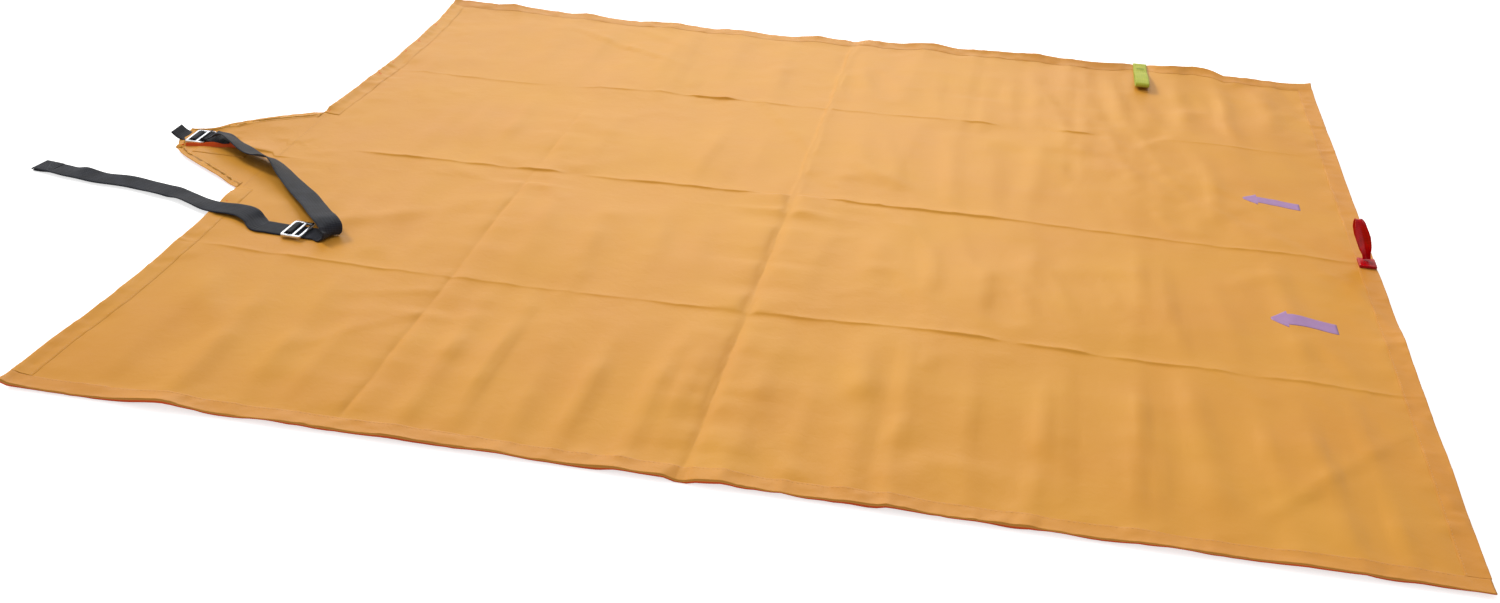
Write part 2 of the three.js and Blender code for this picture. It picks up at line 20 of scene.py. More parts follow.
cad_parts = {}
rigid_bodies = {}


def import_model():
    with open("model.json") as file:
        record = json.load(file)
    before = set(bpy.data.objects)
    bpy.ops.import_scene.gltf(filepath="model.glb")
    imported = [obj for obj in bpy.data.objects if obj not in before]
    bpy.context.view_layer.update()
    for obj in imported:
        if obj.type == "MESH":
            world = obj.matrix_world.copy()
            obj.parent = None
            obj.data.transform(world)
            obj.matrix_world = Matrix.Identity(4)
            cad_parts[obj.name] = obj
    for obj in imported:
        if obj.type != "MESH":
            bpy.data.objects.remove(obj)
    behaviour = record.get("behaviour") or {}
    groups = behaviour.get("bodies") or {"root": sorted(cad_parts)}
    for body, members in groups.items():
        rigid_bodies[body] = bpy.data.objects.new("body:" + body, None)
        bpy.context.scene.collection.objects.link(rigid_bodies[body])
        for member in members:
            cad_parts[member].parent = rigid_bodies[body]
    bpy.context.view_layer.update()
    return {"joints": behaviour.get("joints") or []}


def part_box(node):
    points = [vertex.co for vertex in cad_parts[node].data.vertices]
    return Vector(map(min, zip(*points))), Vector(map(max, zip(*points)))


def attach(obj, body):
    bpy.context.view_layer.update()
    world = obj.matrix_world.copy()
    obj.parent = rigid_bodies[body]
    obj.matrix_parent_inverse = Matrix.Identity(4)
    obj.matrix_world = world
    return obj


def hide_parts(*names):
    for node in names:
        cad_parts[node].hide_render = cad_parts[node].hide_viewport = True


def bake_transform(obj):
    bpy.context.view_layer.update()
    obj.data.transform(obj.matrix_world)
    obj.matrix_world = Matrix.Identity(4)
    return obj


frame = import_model()

MM = 0.001
log = logging.getLogger("rescue_sheet")


# ---------------------------------------------------------------- helpers


def linear(code: str) -> tuple[float, float, float, float]:
    """Turns an sRGB hex colour to linear.

    Args:
        code: six hex digits.

    Returns:
        Linear red, green and blue, and an alpha of 1.
    """
    parts = [int(code[i : i + 2], 16) / 255 for i in (0, 2, 4)]
    red, green, blue = (c / 12.92 if c <= 0.04045 else ((c + 0.055) / 1.055) ** 2.4 for c in parts)
    return (red, green, blue, 1.0)


def wire(tree: bpy.types.NodeTree, node: bpy.types.Node, values: dict | None, links: dict | None) -> None:
    """Sets a node's inputs.

    Args:
        tree: the node's tree.
        node: the node.
        values: input socket to value.
        links: input socket to the output that feeds it.
    """
    for key, value in (values or {}).items():
        node.inputs[key].default_value = value
    for key, source in (links or {}).items():
        tree.links.new(source, node.inputs[key])


def add_node(
    tree: bpy.types.NodeTree, kind: str, settings: dict | None = None,
    values: dict | None = None, links: dict | None = None,
) -> bpy.types.Node:
    """Adds one node with its settings, socket values and incoming links.

    Args:
        tree: the tree that takes the node.
        kind: the node's type.
        settings: attribute to value.
        values: input socket to value.
        links: input socket to the output that feeds it.

    Returns:
        The new node.
    """
    node = tree.nodes.new(kind)
    for key, value in (settings or {}).items():
        setattr(node, key, value)
    wire(tree, node, values, links)
    return node


def box_mm(node: str) -> tuple[np.ndarray, np.ndarray]:
    """Gives a CAD node's lowest and highest corners in millimetres."""
    low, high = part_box(node)
    return np.array(low) / MM, np.array(high) / MM


def pivot_mm(joint: str) -> np.ndarray:
    """Gives the place that a joint turns about, in millimetres."""
    return next(np.array(j["pos_m"]) / MM for j in frame["joints"] if j["name"] == joint)


def smooth_line(points: np.ndarray | list, per_span: int) -> np.ndarray:
    """Draws a centripetal Catmull-Rom curve through points.

    Args:
        points: (n, d) points; the first three columns are a place, and the rest is carried along.
        per_span: samples from each point to the next.

    Returns:
        The curve's points, ends included.
    """
    points = np.asarray(points, float)
    padded = np.vstack([2 * points[0] - points[1], points, 2 * points[-1] - points[-2]])
    reach = np.linalg.norm(np.diff(padded[:, :3], axis=0), axis=1)
    knots = np.concatenate([[0], np.cumsum(np.sqrt(np.maximum(reach, 1e-6)))])
    out = []
    for i in range(1, len(padded) - 2):
        p0, p1, p2, p3 = padded[i - 1 : i + 3]
        t0, t1, t2, t3 = knots[i - 1 : i + 3]
        for t in np.linspace(t1, t2, per_span, endpoint=False):
            a1 = (t1 - t) / (t1 - t0) * p0 + (t - t0) / (t1 - t0) * p1
            a2 = (t2 - t) / (t2 - t1) * p1 + (t - t1) / (t2 - t1) * p2
            a3 = (t3 - t) / (t3 - t2) * p2 + (t - t2) / (t3 - t2) * p3
            b1 = (t2 - t) / (t2 - t0) * a1 + (t - t0) / (t2 - t0) * a2
            b2 = (t3 - t) / (t3 - t1) * a2 + (t - t1) / (t3 - t1) * a3
            out.append((t2 - t) / (t2 - t1) * b1 + (t - t1) / (t2 - t1) * b2)
    out.append(points[-1])
    return np.array(out)


def unit(vectors: np.ndarray) -> np.ndarray:
    """Scales each row to a length of one."""
    return vectors / np.maximum(np.linalg.norm(vectors, axis=-1, keepdims=True), 1e-12)


def directions(line: np.ndarray) -> np.ndarray:
    """Gives the unit tangent at each point of a line."""
    return unit(np.gradient(line, axis=0))


def distances(line: np.ndarray) -> np.ndarray:
    """Gives how far along a line each of its points is."""
    return np.concatenate([[0], np.cumsum(np.linalg.norm(np.diff(line, axis=0), axis=1))])


def square_to(side: np.ndarray, along: np.ndarray) -> np.ndarray:
    """Turns each side square to the way along."""
    return unit(side - along * np.sum(side * along, axis=1, keepdims=True))


def new_piece(
    name: str, points: np.ndarray, faces: list | np.ndarray, uv: np.ndarray | None = None, outward: bool = True
) -> bpy.types.Object:
    """Makes a mesh object at the origin.

    Args:
        name: the piece's name.
        points: (n, 3) points in millimetres.
        faces: lists of point numbers.
        uv: (n, 2) a UV for each point, in millimetres.
        outward: whether the shell is closed, so that its faces are turned outwards.

    Returns:
        The object, linked to the scene, with smooth faces.
    """
    mesh = bpy.data.meshes.new(name)
    faces = faces.tolist() if isinstance(faces, np.ndarray) else faces
    mesh.from_pydata((np.asarray(points, float) * MM).tolist(), [], faces)
    if uv is not None:
        layer = mesh.uv_layers.new(name="cloth")
        corner = np.zeros(len(mesh.loops), np.int32)
        mesh.loops.foreach_get("vertex_index", corner)
        layer.data.foreach_set("uv", np.asarray(uv * MM, np.float32)[corner].ravel())
    if outward:
        shell = bmesh.new()
        shell.from_mesh(mesh)
        bmesh.ops.recalc_face_normals(shell, faces=shell.faces)
        shell.to_mesh(mesh)
        shell.free()
    mesh.polygons.foreach_set("use_smooth", [True] * len(mesh.polygons))
    mesh.update()
    piece = bpy.data.objects.new(name, mesh)
    bpy.context.scene.collection.objects.link(piece)
    return piece


def only(piece: bpy.types.Object) -> None:
    """Selects one object alone and makes it active.

    Args:
        piece: the object.
    """
    for other in bpy.context.view_layer.objects:
        other.select_set(other == piece)
    bpy.context.view_layer.objects.active = piece


def finish_with(piece: bpy.types.Object, kind: str, **settings: object) -> None:
    """Adds a modifier to a piece and applies it.

    Args:
        piece: the piece.
        kind: the modifier's type.
        settings: the modifier's attributes.
    """
    only(piece)
    modifier = piece.modifiers.new(kind.title(), kind)
    for key, value in settings.items():
        setattr(modifier, key, value)
    bpy.ops.object.modifier_apply(modifier=modifier.name)


def dress(piece: bpy.types.Object, *materials: bpy.types.Material) -> None:
    """Gives a piece its materials, in order, in the slots that it has and then in new ones.

    Args:
        piece: the piece.
        materials: its materials.
    """
    slots = piece.data.materials
    for number, material in enumerate(materials):
        if number < len(slots):
            slots[number] = material
        else:
            slots.append(material)


def settle(
    piece: bpy.types.Object, materials: tuple[bpy.types.Material, ...], body: str, slot: str, *nodes: str
) -> bpy.types.Object:
    """Dresses a piece, puts it on its body and hides the CAD nodes it stands for.

    Args:
        piece: the finished piece.
        materials: its materials, in order.
        body: the CAD body.
        slot: not used.
        nodes: CAD nodes.

    Returns:
        The piece.
    """
    dress(piece, *materials)
    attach(piece, body)
    if nodes:
        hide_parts(*nodes)
    log.info("%s rides on %s", piece.name, body)
    return piece


def webbing_section(width: float, thick: float, columns: int = 10) -> np.ndarray:
    """Draws a webbing's cross-section, with rounded woven edges.

    Args:
        width: across, in millimetres.
        thick: through, in millimetres.
        columns: points across each face.

    Returns:
        (k, 2) points of (across, over), once round.
    """
    across = np.linspace(-width / 2 + 0.45, width / 2 - 0.45, columns)
    top = np.column_stack([across, np.full(columns, thick / 2)])
    edge = np.array([[width / 2 - 0.1, thick / 4], [width / 2 - 0.1, -thick / 4]])
    return np.vstack([top, edge, top[::-1] * [1, -1], edge[::-1] * [-1, 1]])


def net_faces(rows: int, columns: int, first: int = 0) -> np.ndarray:
    """Joins a net of points, numbered row by row from first, with four-sided faces."""
    corner = (np.arange(rows - 1)[:, None] * columns + np.arange(columns - 1)).ravel() + first
    return np.column_stack([corner, corner + 1, corner + columns + 1, corner + columns])


def closed_tube(name: str, points: np.ndarray, uv: np.ndarray) -> bpy.types.Object:
    """Joins rings of points into one closed shell.

    Args:
        name: the piece's name.
        points: (rings, around, 3) points in millimetres.
        uv: (rings, around, 2) a UV for each point, in millimetres.

    Returns:
        The piece.
    """
    count, around = points.shape[:2]
    ring = np.arange(around)
    step = np.arange(count - 1)[:, None] * around
    after = (ring + 1) % around
    quads = np.stack([step + ring, step + after, step + around + after, step + around + ring], axis=-1)
    faces = quads.reshape(-1, 4).tolist()
    faces += [ring[::-1].tolist(), (ring + (count - 1) * around).tolist()]
    return new_piece(name, points.reshape(-1, 3), faces, uv.reshape(-1, 2))


def sweep(
    name: str, line: np.ndarray, side: np.ndarray, section: np.ndarray, face_up: bool = False
) -> bpy.types.Object:
    """Sweeps a cross-section along a line as a closed shell.

    Args:
        name: the piece's name.
        line: (n, 3) points in millimetres.
        side: (n, 3) or (3,) the way that the width points.
        section: (k, 2) or (n, k, 2) offsets of (across, over).
        face_up: whether over is turned so that it mostly points up.

    Returns:
        The piece, with a UV of (along, across).
    """
    along = directions(line)
    side = square_to(np.broadcast_to(side, line.shape), along)
    over = np.cross(along, side)
    if face_up and np.sum(over[:, 2]) < 0:
        over = -over
    section = np.broadcast_to(section, (len(line), *section.shape[-2:]))
    points = line[:, None] + side[:, None] * section[..., :1] + over[:, None] * section[..., 1:]
    reach = np.broadcast_to(distances(line)[:, None], section.shape[:2])
    return closed_tube(name, points, np.stack([reach, section[..., 0]], axis=-1))


class SmoothNoise:
    """Seeded noise on a lattice, smooth between its points, from -1 to 1."""

    def __init__(self, seed: int, size: int = 64) -> None:
        """Fills the lattice.

        Args:
            seed: the random seed.
            size: lattice points each way before the noise repeats.
        """
        self.size = size
        self.values = np.random.default_rng(seed).uniform(-1, 1, (size, size))

    def __call__(self, a: np.ndarray, b: np.ndarray) -> np.ndarray:
        """Reads the noise.

        Args:
            a: places one way, in lattice steps.
            b: places the other way.

        Returns:
            The noise at each place.
        """
        ia, ib = np.floor(a).astype(int), np.floor(b).astype(int)
        fa, fb = (f * f * f * (f * (6 * f - 15) + 10) for f in (a - ia, b - ib))
        low, high = (
            self.values[ia % self.size, j % self.size] * (1 - fa)
            + self.values[(ia + 1) % self.size, j % self.size] * fa
            for j in (ib, ib + 1)
        )
        return low * (1 - fb) + high * fb


# ---------------------------------------------------------------- finishes

BANDS = 0.31416  # a wave texture at a scale of 1 has its bands this far apart


class Finish:
    """A finish, drawn with nodes round the principled shader."""

    name: str

    def make(self) -> bpy.types.Material:
        """Builds the material.

        Returns:
            The new material.
        """
        material = bpy.data.materials.new(self.name)
        material.use_nodes = True
        tree = material.node_tree
        wire(tree, tree.nodes["Principled BSDF"], *self.draw(partial(add_node, tree)))
        return material

    def draw(self, add: Callable[..., bpy.types.Node]) -> tuple[dict, dict]:
        """Draws the finish.

        Args:
            add: adds a node to the material.

        Returns:
            The shader's values, and its links.
        """
        raise NotImplementedError


@dataclass(frozen=True)
class CoatedNylon(Finish):
    """Plain-woven nylon with a thin clear coat, calendered flat.

    The eye sees an even colour, a soft gleam where the cloth turns to the light, and fine creases.
    """

    name: str
    colour: str
    worn: str
    roughness: float = 0.44
    gloss: float = 0.21
    crease_mm: float = 9.0
    blotch_mm: float = 140.0
    thread_mm: float = 1.3  # the real threads are 0.25 mm apart, drawn coarser so that they show

    def draw(self, add: Callable[..., bpy.types.Node]) -> tuple[dict, dict]:
        """Draws faint blotches, crinkles and threads.

        Args:
            add: adds a node to the material.

        Returns:
            The shader's values, and its links.
        """
        cloth = {"Vector": add("ShaderNodeUVMap", {"uv_map": "cloth"}).outputs[0]}
        spots = {"Scale": 1 / (self.blotch_mm * MM), "Detail": 3.0, "Roughness": 0.55}
        blotch = add("ShaderNodeTexNoise", None, spots, cloth).outputs[0]
        share = add("ShaderNodeMapRange", None, {"From Min": 0.3, "From Max": 0.7}, {"Value": blotch})
        tones = {6: linear(self.worn), 7: linear(self.colour)}
        colour = add("ShaderNodeMix", {"data_type": "RGBA"}, tones, {0: share.outputs[0]})
        creases = {"Scale": 1 / (self.crease_mm * MM), "Detail": 3.0, "Roughness": 0.5, "Distortion": 0.6}
        crinkle = add("ShaderNodeTexNoise", None, creases, cloth)
        pitch = {"Scale": BANDS / (self.thread_mm * MM)}
        warp, weft = (add("ShaderNodeTexWave", {"bands_direction": way}, pitch, cloth).outputs[1] for way in "XY")
        threads = add("ShaderNodeMath", {"operation": "MULTIPLY"}, None, {0: warp, 1: weft})
        fine = add("ShaderNodeBump", None, {"Strength": 0.04, "Distance": 0.00003}, {"Height": threads.outputs[0]})
        heights = {"Height": crinkle.outputs[0], "Normal": fine.outputs[0]}
        bump = add("ShaderNodeBump", None, {"Strength": 0.35, "Distance": 0.0006}, heights)
        gleam = {"To Min": self.roughness - 0.05, "To Max": self.roughness + 0.07}
        rough = add("ShaderNodeMapRange", None, gleam, {"Value": blotch})
        links = {"Base Color": colour.outputs[2], "Roughness": rough.outputs[0], "Normal": bump.outputs[0]}
        return {"Specular IOR Level": self.gloss}, links


@dataclass(frozen=True)
class WovenWebbing(Finish):
    """Polyester webbing on a needle loom: fine ribs across it, firm rounded edges, a dull silk."""

    name: str
    dark: str
    light: str
    width: float
    roughness: float = 0.72
    sheen: float = 0.1
    gloss: float = 0.2
    rib_mm: float = 1.9  # the real ribs are 0.8 mm apart, drawn coarser so that they show
    bump: float = 0.5

    def draw(self, add: Callable[..., bpy.types.Node]) -> tuple[dict, dict]:
        """Draws ribs, fuzz and a darker rim.

        Args:
            add: adds a node to the material.

        Returns:
            The shader's values, and its links.
        """
        place = add("ShaderNodeUVMap", {"uv_map": "cloth"}).outputs[0]
        weave, pitch = {"Vector": place}, BANDS / (self.rib_mm * MM)
        ribs = {"Scale": pitch, "Distortion": 0.6, "Detail": 1.0}
        rib = add("ShaderNodeTexWave", {"bands_direction": "X"}, ribs, weave)
        cord = add("ShaderNodeTexWave", {"bands_direction": "Y"}, {"Scale": pitch / 1.6}, weave)
        mix = {"operation": "MULTIPLY_ADD"}
        height = add("ShaderNodeMath", mix, {1: 0.5}, {0: cord.outputs[1], 2: rib.outputs[1]}).outputs[0]
        fuzz = add("ShaderNodeTexNoise", None, {"Scale": 1 / (11 * MM), "Detail": 4.0}, weave)
        tone = add("ShaderNodeMath", mix, {1: 0.22}, {0: height, 2: fuzz.outputs[0]})
        share = add("ShaderNodeMapRange", None, {"From Min": 0.35, "From Max": 0.95}, {"Value": tone.outputs[0]})
        split = add("ShaderNodeSeparateXYZ", None, None, {0: place})
        away = add("ShaderNodeMath", {"operation": "ABSOLUTE"}, None, {0: split.outputs[1]})
        start, end = (self.width / 2 - 2.2) * MM, (self.width / 2 - 0.6) * MM
        rim = {"From Min": start, "From Max": end, "To Min": 1.0, "To Max": 0.55}
        edge = add("ShaderNodeMapRange", None, rim, {"Value": away.outputs[0]})
        shaded = add("ShaderNodeMath", {"operation": "MULTIPLY"}, None, {0: share.outputs[0], 1: edge.outputs[0]})
        tones = {6: linear(self.dark), 7: linear(self.light)}
        colour = add("ShaderNodeMix", {"data_type": "RGBA"}, tones, {0: shaded.outputs[0]})
        bump = add("ShaderNodeBump", None, {"Strength": self.bump, "Distance": 0.0003}, {"Height": height})
        values = {"Roughness": self.roughness, "Specular IOR Level": self.gloss}
        values |= {"Sheen Weight": self.sheen, "Sheen Roughness": 0.5}
        return values, {"Base Color": colour.outputs[2], "Normal": bump.outputs[0]}


@dataclass(frozen=True)
class PlatedSteel(Finish):
    """Stamped steel, tumbled and zinc plated: bright, faintly clouded, with fine handling marks."""

    name: str = "zinc_plated_steel"
    colour: str = "E4E6EA"
    clouded: str = "B9BDC4"
    roughness: float = 0.24

    def draw(self, add: Callable[..., bpy.types.Node]) -> tuple[dict, dict]:
        """Draws clouds and drawn-out marks.

        Args:
            add: adds a node to the material.

        Returns:
            The shader's values, and its links.
        """
        place = {"Vector": add("ShaderNodeTexCoord").outputs["Object"]}
        cloud = add("ShaderNodeTexNoise", None, {"Scale": 1 / (6 * MM), "Detail": 4.0}, place)
        grain = {"Scale": (1 / (0.7 * MM), 1 / (9 * MM), 1 / (2 * MM))}
        brushed = {"Vector": add("ShaderNodeMapping", None, grain, place).outputs[0]}
        marks = add("ShaderNodeTexNoise", None, {"Scale": 1.0, "Detail": 3.0}, brushed).outputs[0]
        tones = {6: linear(self.clouded), 7: linear(self.colour)}
        colour = add("ShaderNodeMix", {"data_type": "RGBA"}, tones, {0: cloud.outputs[0]})
        spread = {"To Min": self.roughness - 0.08, "To Max": self.roughness + 0.14}
        dull = add("ShaderNodeMapRange", None, spread, {"Value": marks})
        bump = add("ShaderNodeBump", None, {"Strength": 0.12, "Distance": 0.0001}, {"Height": marks})
        links = {"Base Color": colour.outputs[2], "Roughness": dull.outputs[0], "Normal": bump.outputs[0]}
        return {"Metallic": 1.0}, links


@dataclass(frozen=True)
class SewingThread(Finish):
    """Twisted polyester sewing thread: small round stitches, a shade off the cloth that they hold."""

    name: str
    colour: str
    shade: str
    twist_mm: float = 0.5

    def draw(self, add: Callable[..., bpy.types.Node]) -> tuple[dict, dict]:
        """Draws the twist.

        Args:
            add: adds a node to the material.

        Returns:
            The shader's values, and its links.
        """
        place = {"Vector": add("ShaderNodeTexCoord").outputs["Object"]}
        pitch = {"Scale": BANDS / (self.twist_mm * MM)}
        twist = add("ShaderNodeTexWave", {"bands_direction": "DIAGONAL"}, pitch, place).outputs[1]
        tones = {6: linear(self.shade), 7: linear(self.colour)}
        colour = add("ShaderNodeMix", {"data_type": "RGBA"}, tones, {0: twist})
        bump = add("ShaderNodeBump", None, {"Strength": 0.3, "Distance": 0.0001}, {"Height": twist})
        return {"Roughness": 0.6, "Sheen Weight": 0.15}, {"Base Color": colour.outputs[2], "Normal": bump.outputs[0]}


@dataclass(frozen=True)
class ScreenPrint(Finish):
    """Screen-printed ink on coated nylon: flat, faintly patchy, with the cloth's gleam over it."""

    name: str
    colour: str
    thin: str

    def draw(self, add: Callable[..., bpy.types.Node]) -> tuple[dict, dict]:
        """Draws the patchy ink.

        Args:
            add: adds a node to the material.

        Returns:
            The shader's values, and its links.
        """
        cloth = {"Vector": add("ShaderNodeUVMap", {"uv_map": "cloth"}).outputs[0]}
        patchy = add("ShaderNodeTexNoise", None, {"Scale": 1 / (7 * MM), "Detail": 4.0}, cloth).outputs[0]
        tones = {6: linear(self.thin), 7: linear(self.colour)}
        colour = add("ShaderNodeMix", {"data_type": "RGBA"}, tones, {0: patchy})
        bump = add("ShaderNodeBump", None, {"Strength": 0.2, "Distance": 0.0002}, {"Height": patchy})
        return {"Roughness": 0.5}, {"Base Color": colour.outputs[2], "Normal": bump.outputs[0]}


# ---------------------------------------------------------------- strap


@dataclass
class Strap:
    """The free adjusting strap: off the tab, round by the loose slide and out across the floor."""

    width: float = 25.0
    thick: float = 1.2
    per_span: int = 10
    end_fold: float = 22.0
    straight_middle: tuple[float, float] = (-432.0, -218.0)
    straight_heading: float = 177.0
    straight_z: float = 2.2

    def on_straight(self, distance: float) -> tuple[float, float]:
        """Finds a place on the stretch under the loose slide.

        Args:
            distance: from the stretch's middle, in millimetres.

        Returns:
            Its x and y.
        """
        turn = math.radians(self.straight_heading)
        return (
            self.straight_middle[0] + distance * math.cos(turn),
            self.straight_middle[1] + distance * math.sin(turn),
        )

    def stations(self) -> np.ndarray:
        """Lists the strap's route.

        Returns:
            Rows of x, y, z, the angle of its width, and its tilt on edge.
        """
        z = self.straight_z
        return np.array(
            [
                (-624.33, -20, 9.17, 90, 0), (-616, -20.8, 10.8, 88, -12), (-608, -23.8, 12.4, 80, -22),
                (-599, -29.2, 13.2, 68, -30), (-586, -39.5, 13, 58, -28), (-573.5, -48, 11.4, 57, -22),
                (-561, -56, 10.2, 58, -20), (-547, -64.5, 10.4, 60, -24), (-535.6, -68, 11.6, 57, -30),
                (-525, -73.5, 11.8, 50, -36), (-513.5, -84.5, 10.6, 45, -33), (-501, -98, 9.2, 43, -24),
                (-486, -113.5, 8, 43, -16), (-471, -130, 8, 43, -9), (-453.5, -149, 9.6, 42, -4),
                (-436, -170, 11.4, 41, -8), (-418, -194, 14.6, 40, -5), (-404, -211, 17.4, 42, 0),
                (-395, -220.5, 14, 50, 0), (-393.5, -224, 8, 62, 0), (-398, -224.5, 3.6, 74, 0),
                (*self.on_straight(-26), z + 0.3, 84, 0), (*self.on_straight(-16), z, 87, 0),
                (*self.on_straight(0), z, 87, 0), (*self.on_straight(18), z, 87, 0),
                (*self.on_straight(34), z, 87, 0), (*self.on_straight(42), z + 0.1, 82, 0),
                (-483, -207, 3.6, 70, -3), (-491, -201.5, 6.2, 66, 2),
                (-500.5, -196, 6.9, 73, 2), (-512, -193, 6.2, 84, 1), (-526, -191.5, 5.2, 82, 0),
                (-541, -188, 4.4, 70, -1), (-563, -178, 3.4, 64, -8), (-582, -169, 3.2, 68, -7),
                (-595.5, -165, 3.6, 78, 1), (-608, -163, 3.8, 77, -1), (-628, -157.5, 3.2, 76, 0),
                (-645, -154, 3.4, 82, 2), (-660.5, -152.5, 3.4, 88, 3), (-685, -151.5, 3.2, 85, 1),
                (-699, -149.5, 3.4, 79, 3), (-714, -147, 4.2, 81, 6), (-727, -145, 3.4, 78, 0),
                (-743, -141, 2.8, 72, -1), (-756, -138, 1.6, 78, 0), (-768, -136, 1.3, 80, 0),
            ],
            float,
        )

    def line(self) -> tuple[np.ndarray, np.ndarray]:
        """Samples the route.

        Returns:
            The centreline's points, and the way that the width points at each.
        """
        route = smooth_line(self.stations(), self.per_span)
        line, turn, tilt = route[:, :3], np.radians(route[:, 3:4]), np.radians(route[:, 4:])
        along = directions(line)
        level = square_to(np.hstack([np.cos(turn), np.sin(turn), 0 * turn]), along)
        over = np.cross(along, level)
        over *= np.where(tilt == 0, 1, np.sign(over[:, 2:]))
        return line, level * np.cos(tilt) + over * np.sin(tilt)

    def covers(self) -> np.ndarray:
        """Lists points under the strap, for the cloth to stay below.

        Returns:
            Rows of x, y, z, reach and slope.
        """
        line, side = self.line()
        reach_slope = np.broadcast_to([4.0, 0.6], (len(line), 2))
        out = np.vstack([np.column_stack([line + side * across, reach_slope])[::3] for across in range(-12, 13, 6)])
        out[:, 2] -= self.thick / 2 + 0.5
        return out

    def build(self, finish: bpy.types.Material, thread: bpy.types.Material) -> list[bpy.types.Object]:
        """Models the run and its turned end.

        Args:
            finish: the webbing.
            thread: the thread of the turned end's stitches.

        Returns:
            The run, the turned end and its stitches.
        """
        line, side = self.line()
        section = webbing_section(self.width, self.thick)
        wave = np.sin(np.arange(len(line)) * 0.23)[:, None] * 0.25
        curled = np.repeat(section[None], len(line), axis=0)
        curled[..., 1] += wave * (2 * curled[..., 0] / self.width) ** 2
        run = sweep("strap_run", line, side, curled, face_up=True)
        settle(run, (finish,), "sheet_tab_half", "dark_webbing", "strap")

        end, turn = line[-1], side[-1]
        back, up = np.array([turn[1], -turn[0], 0.0]), np.array([0.0, 0.0, 1.0])
        flap = [(-1.6, 0.1), (-1.9, 0.7), (-1.5, 1.35), (0, 1.65), (5, 1.62), (12, 1.7), (18, 1.62)]
        flap = smooth_line([end + reach * back + height * up for reach, height in (*flap, (self.end_fold, 1.5))], 5)
        turned = sweep("strap_turned_end", flap, turn, webbing_section(self.width - 0.4, self.thick), face_up=True)
        settle(turned, (finish,), "sheet_tab_half", "dark_webbing", "strap_end_fold")

        low, high = (end + turn * across + up * 2.35 for across in (-10.5, 10.5))
        rows = []
        for first, last in ((6, 6), (17, 17), (6, 17)):
            rows += stitch_row(low + back * first, high + back * last, 3.0)
        rows += stitch_row(high + back * 6, low + back * 17, 3.0)
        stitches = sew("strap_end_stitches", rows)
        settle(stitches, (thread,), "sheet_tab_half", "dark_webbing")
        return [run, turned, stitches]

    def declare(self) -> None:
        """Works out the strap's centreline in metres and does nothing more with it.
        """
        line = self.line()[0] * MM


# ---------------------------------------------------------------- stitches


@dataclass
class Stitch:
    """One lockstitch as it lies on the cloth: a short round bead of thread, sunk at both ends."""

    length: float = 2.7
    width: float = 0.7
    height: float = 0.18
    shape: tuple[np.ndarray, list] | None = None

    def model(self) -> tuple[np.ndarray, list]:
        """Models the stitch once.

        Returns:
            Its points in millimetres, along X, and its faces.
        """
        if self.shape is None:
            bpy.ops.object.select_all(action="DESELECT")
            bpy.ops.mesh.primitive_uv_sphere_add(segments=6, ring_count=4, radius=0.5)
            bead = bpy.context.active_object
            bpy.ops.object.mode_set(mode="EDIT")
            bpy.ops.mesh.select_all(action="SELECT")
            bpy.ops.transform.rotate(value=math.pi / 2, orient_axis="Y", center_override=(0, 0, 0))
            bpy.ops.transform.resize(value=(self.length, self.width, self.height))
            bpy.ops.object.mode_set(mode="OBJECT")
            points = np.array([v.co[:] for v in bead.data.vertices])
            self.shape = (points, [list(p.vertices) for p in bead.data.polygons])
            bpy.data.objects.remove(bead)
        return self.shape


BEAD = Stitch()


def stitch_row(start: np.ndarray, end: np.ndarray, pitch: float) -> list[tuple[np.ndarray, np.ndarray]]:
    """Spaces stitches from one point to another.

    Args:
        start: the first point, in millimetres.
        end: the last point.
        pitch: from one stitch to the next.

    Returns:
        A (middle, direction) pair for each stitch.
    """
    reach = np.linalg.norm(end - start)
    count = max(int(reach / pitch), 1)
    way = (end - start) / reach
    return [(start + way * (i + 0.5) * reach / count, way) for i in range(count)]


def sew(name: str, rows: list[tuple[np.ndarray, np.ndarray]]) -> bpy.types.Object:
    """Copies the stitch to every place in the rows, as one piece.

    Args:
        name: the piece's name.
        rows: (middle, direction) pairs.

    Returns:
        The piece.
    """
    bead, bead_faces = BEAD.model()
    middles = np.array([m for m, _ in rows])
    along = unit(np.array([d for _, d in rows]))
    side = unit(np.cross([0, 0, 1.0], along))
    over = np.cross(along, side)
    points = (
        middles[:, None]
        + bead[None, :, :1] * along[:, None]
        + bead[None, :, 1:2] * side[:, None]
        + bead[None, :, 2:] * over[:, None]
    )
    faces = [[i + k * len(bead) for i in f] for k in range(len(rows)) for f in bead_faces]
    return new_piece(name, points.reshape(-1, 3), faces, outward=False)


# ---------------------------------------------------------------- how the cloth lies


class FoldKind(Enum):
    """How a line in the cloth came about."""

    PRESSED = "pressed in packing: a sharp line, steep on one side and long on the other"
    VALLEY = "pressed the other way: a sharp line at the foot of two slopes"
    BENT = "bent in handling: a blunt line between two soft slopes"
    RIPPLE = "left by handling: a soft wave"


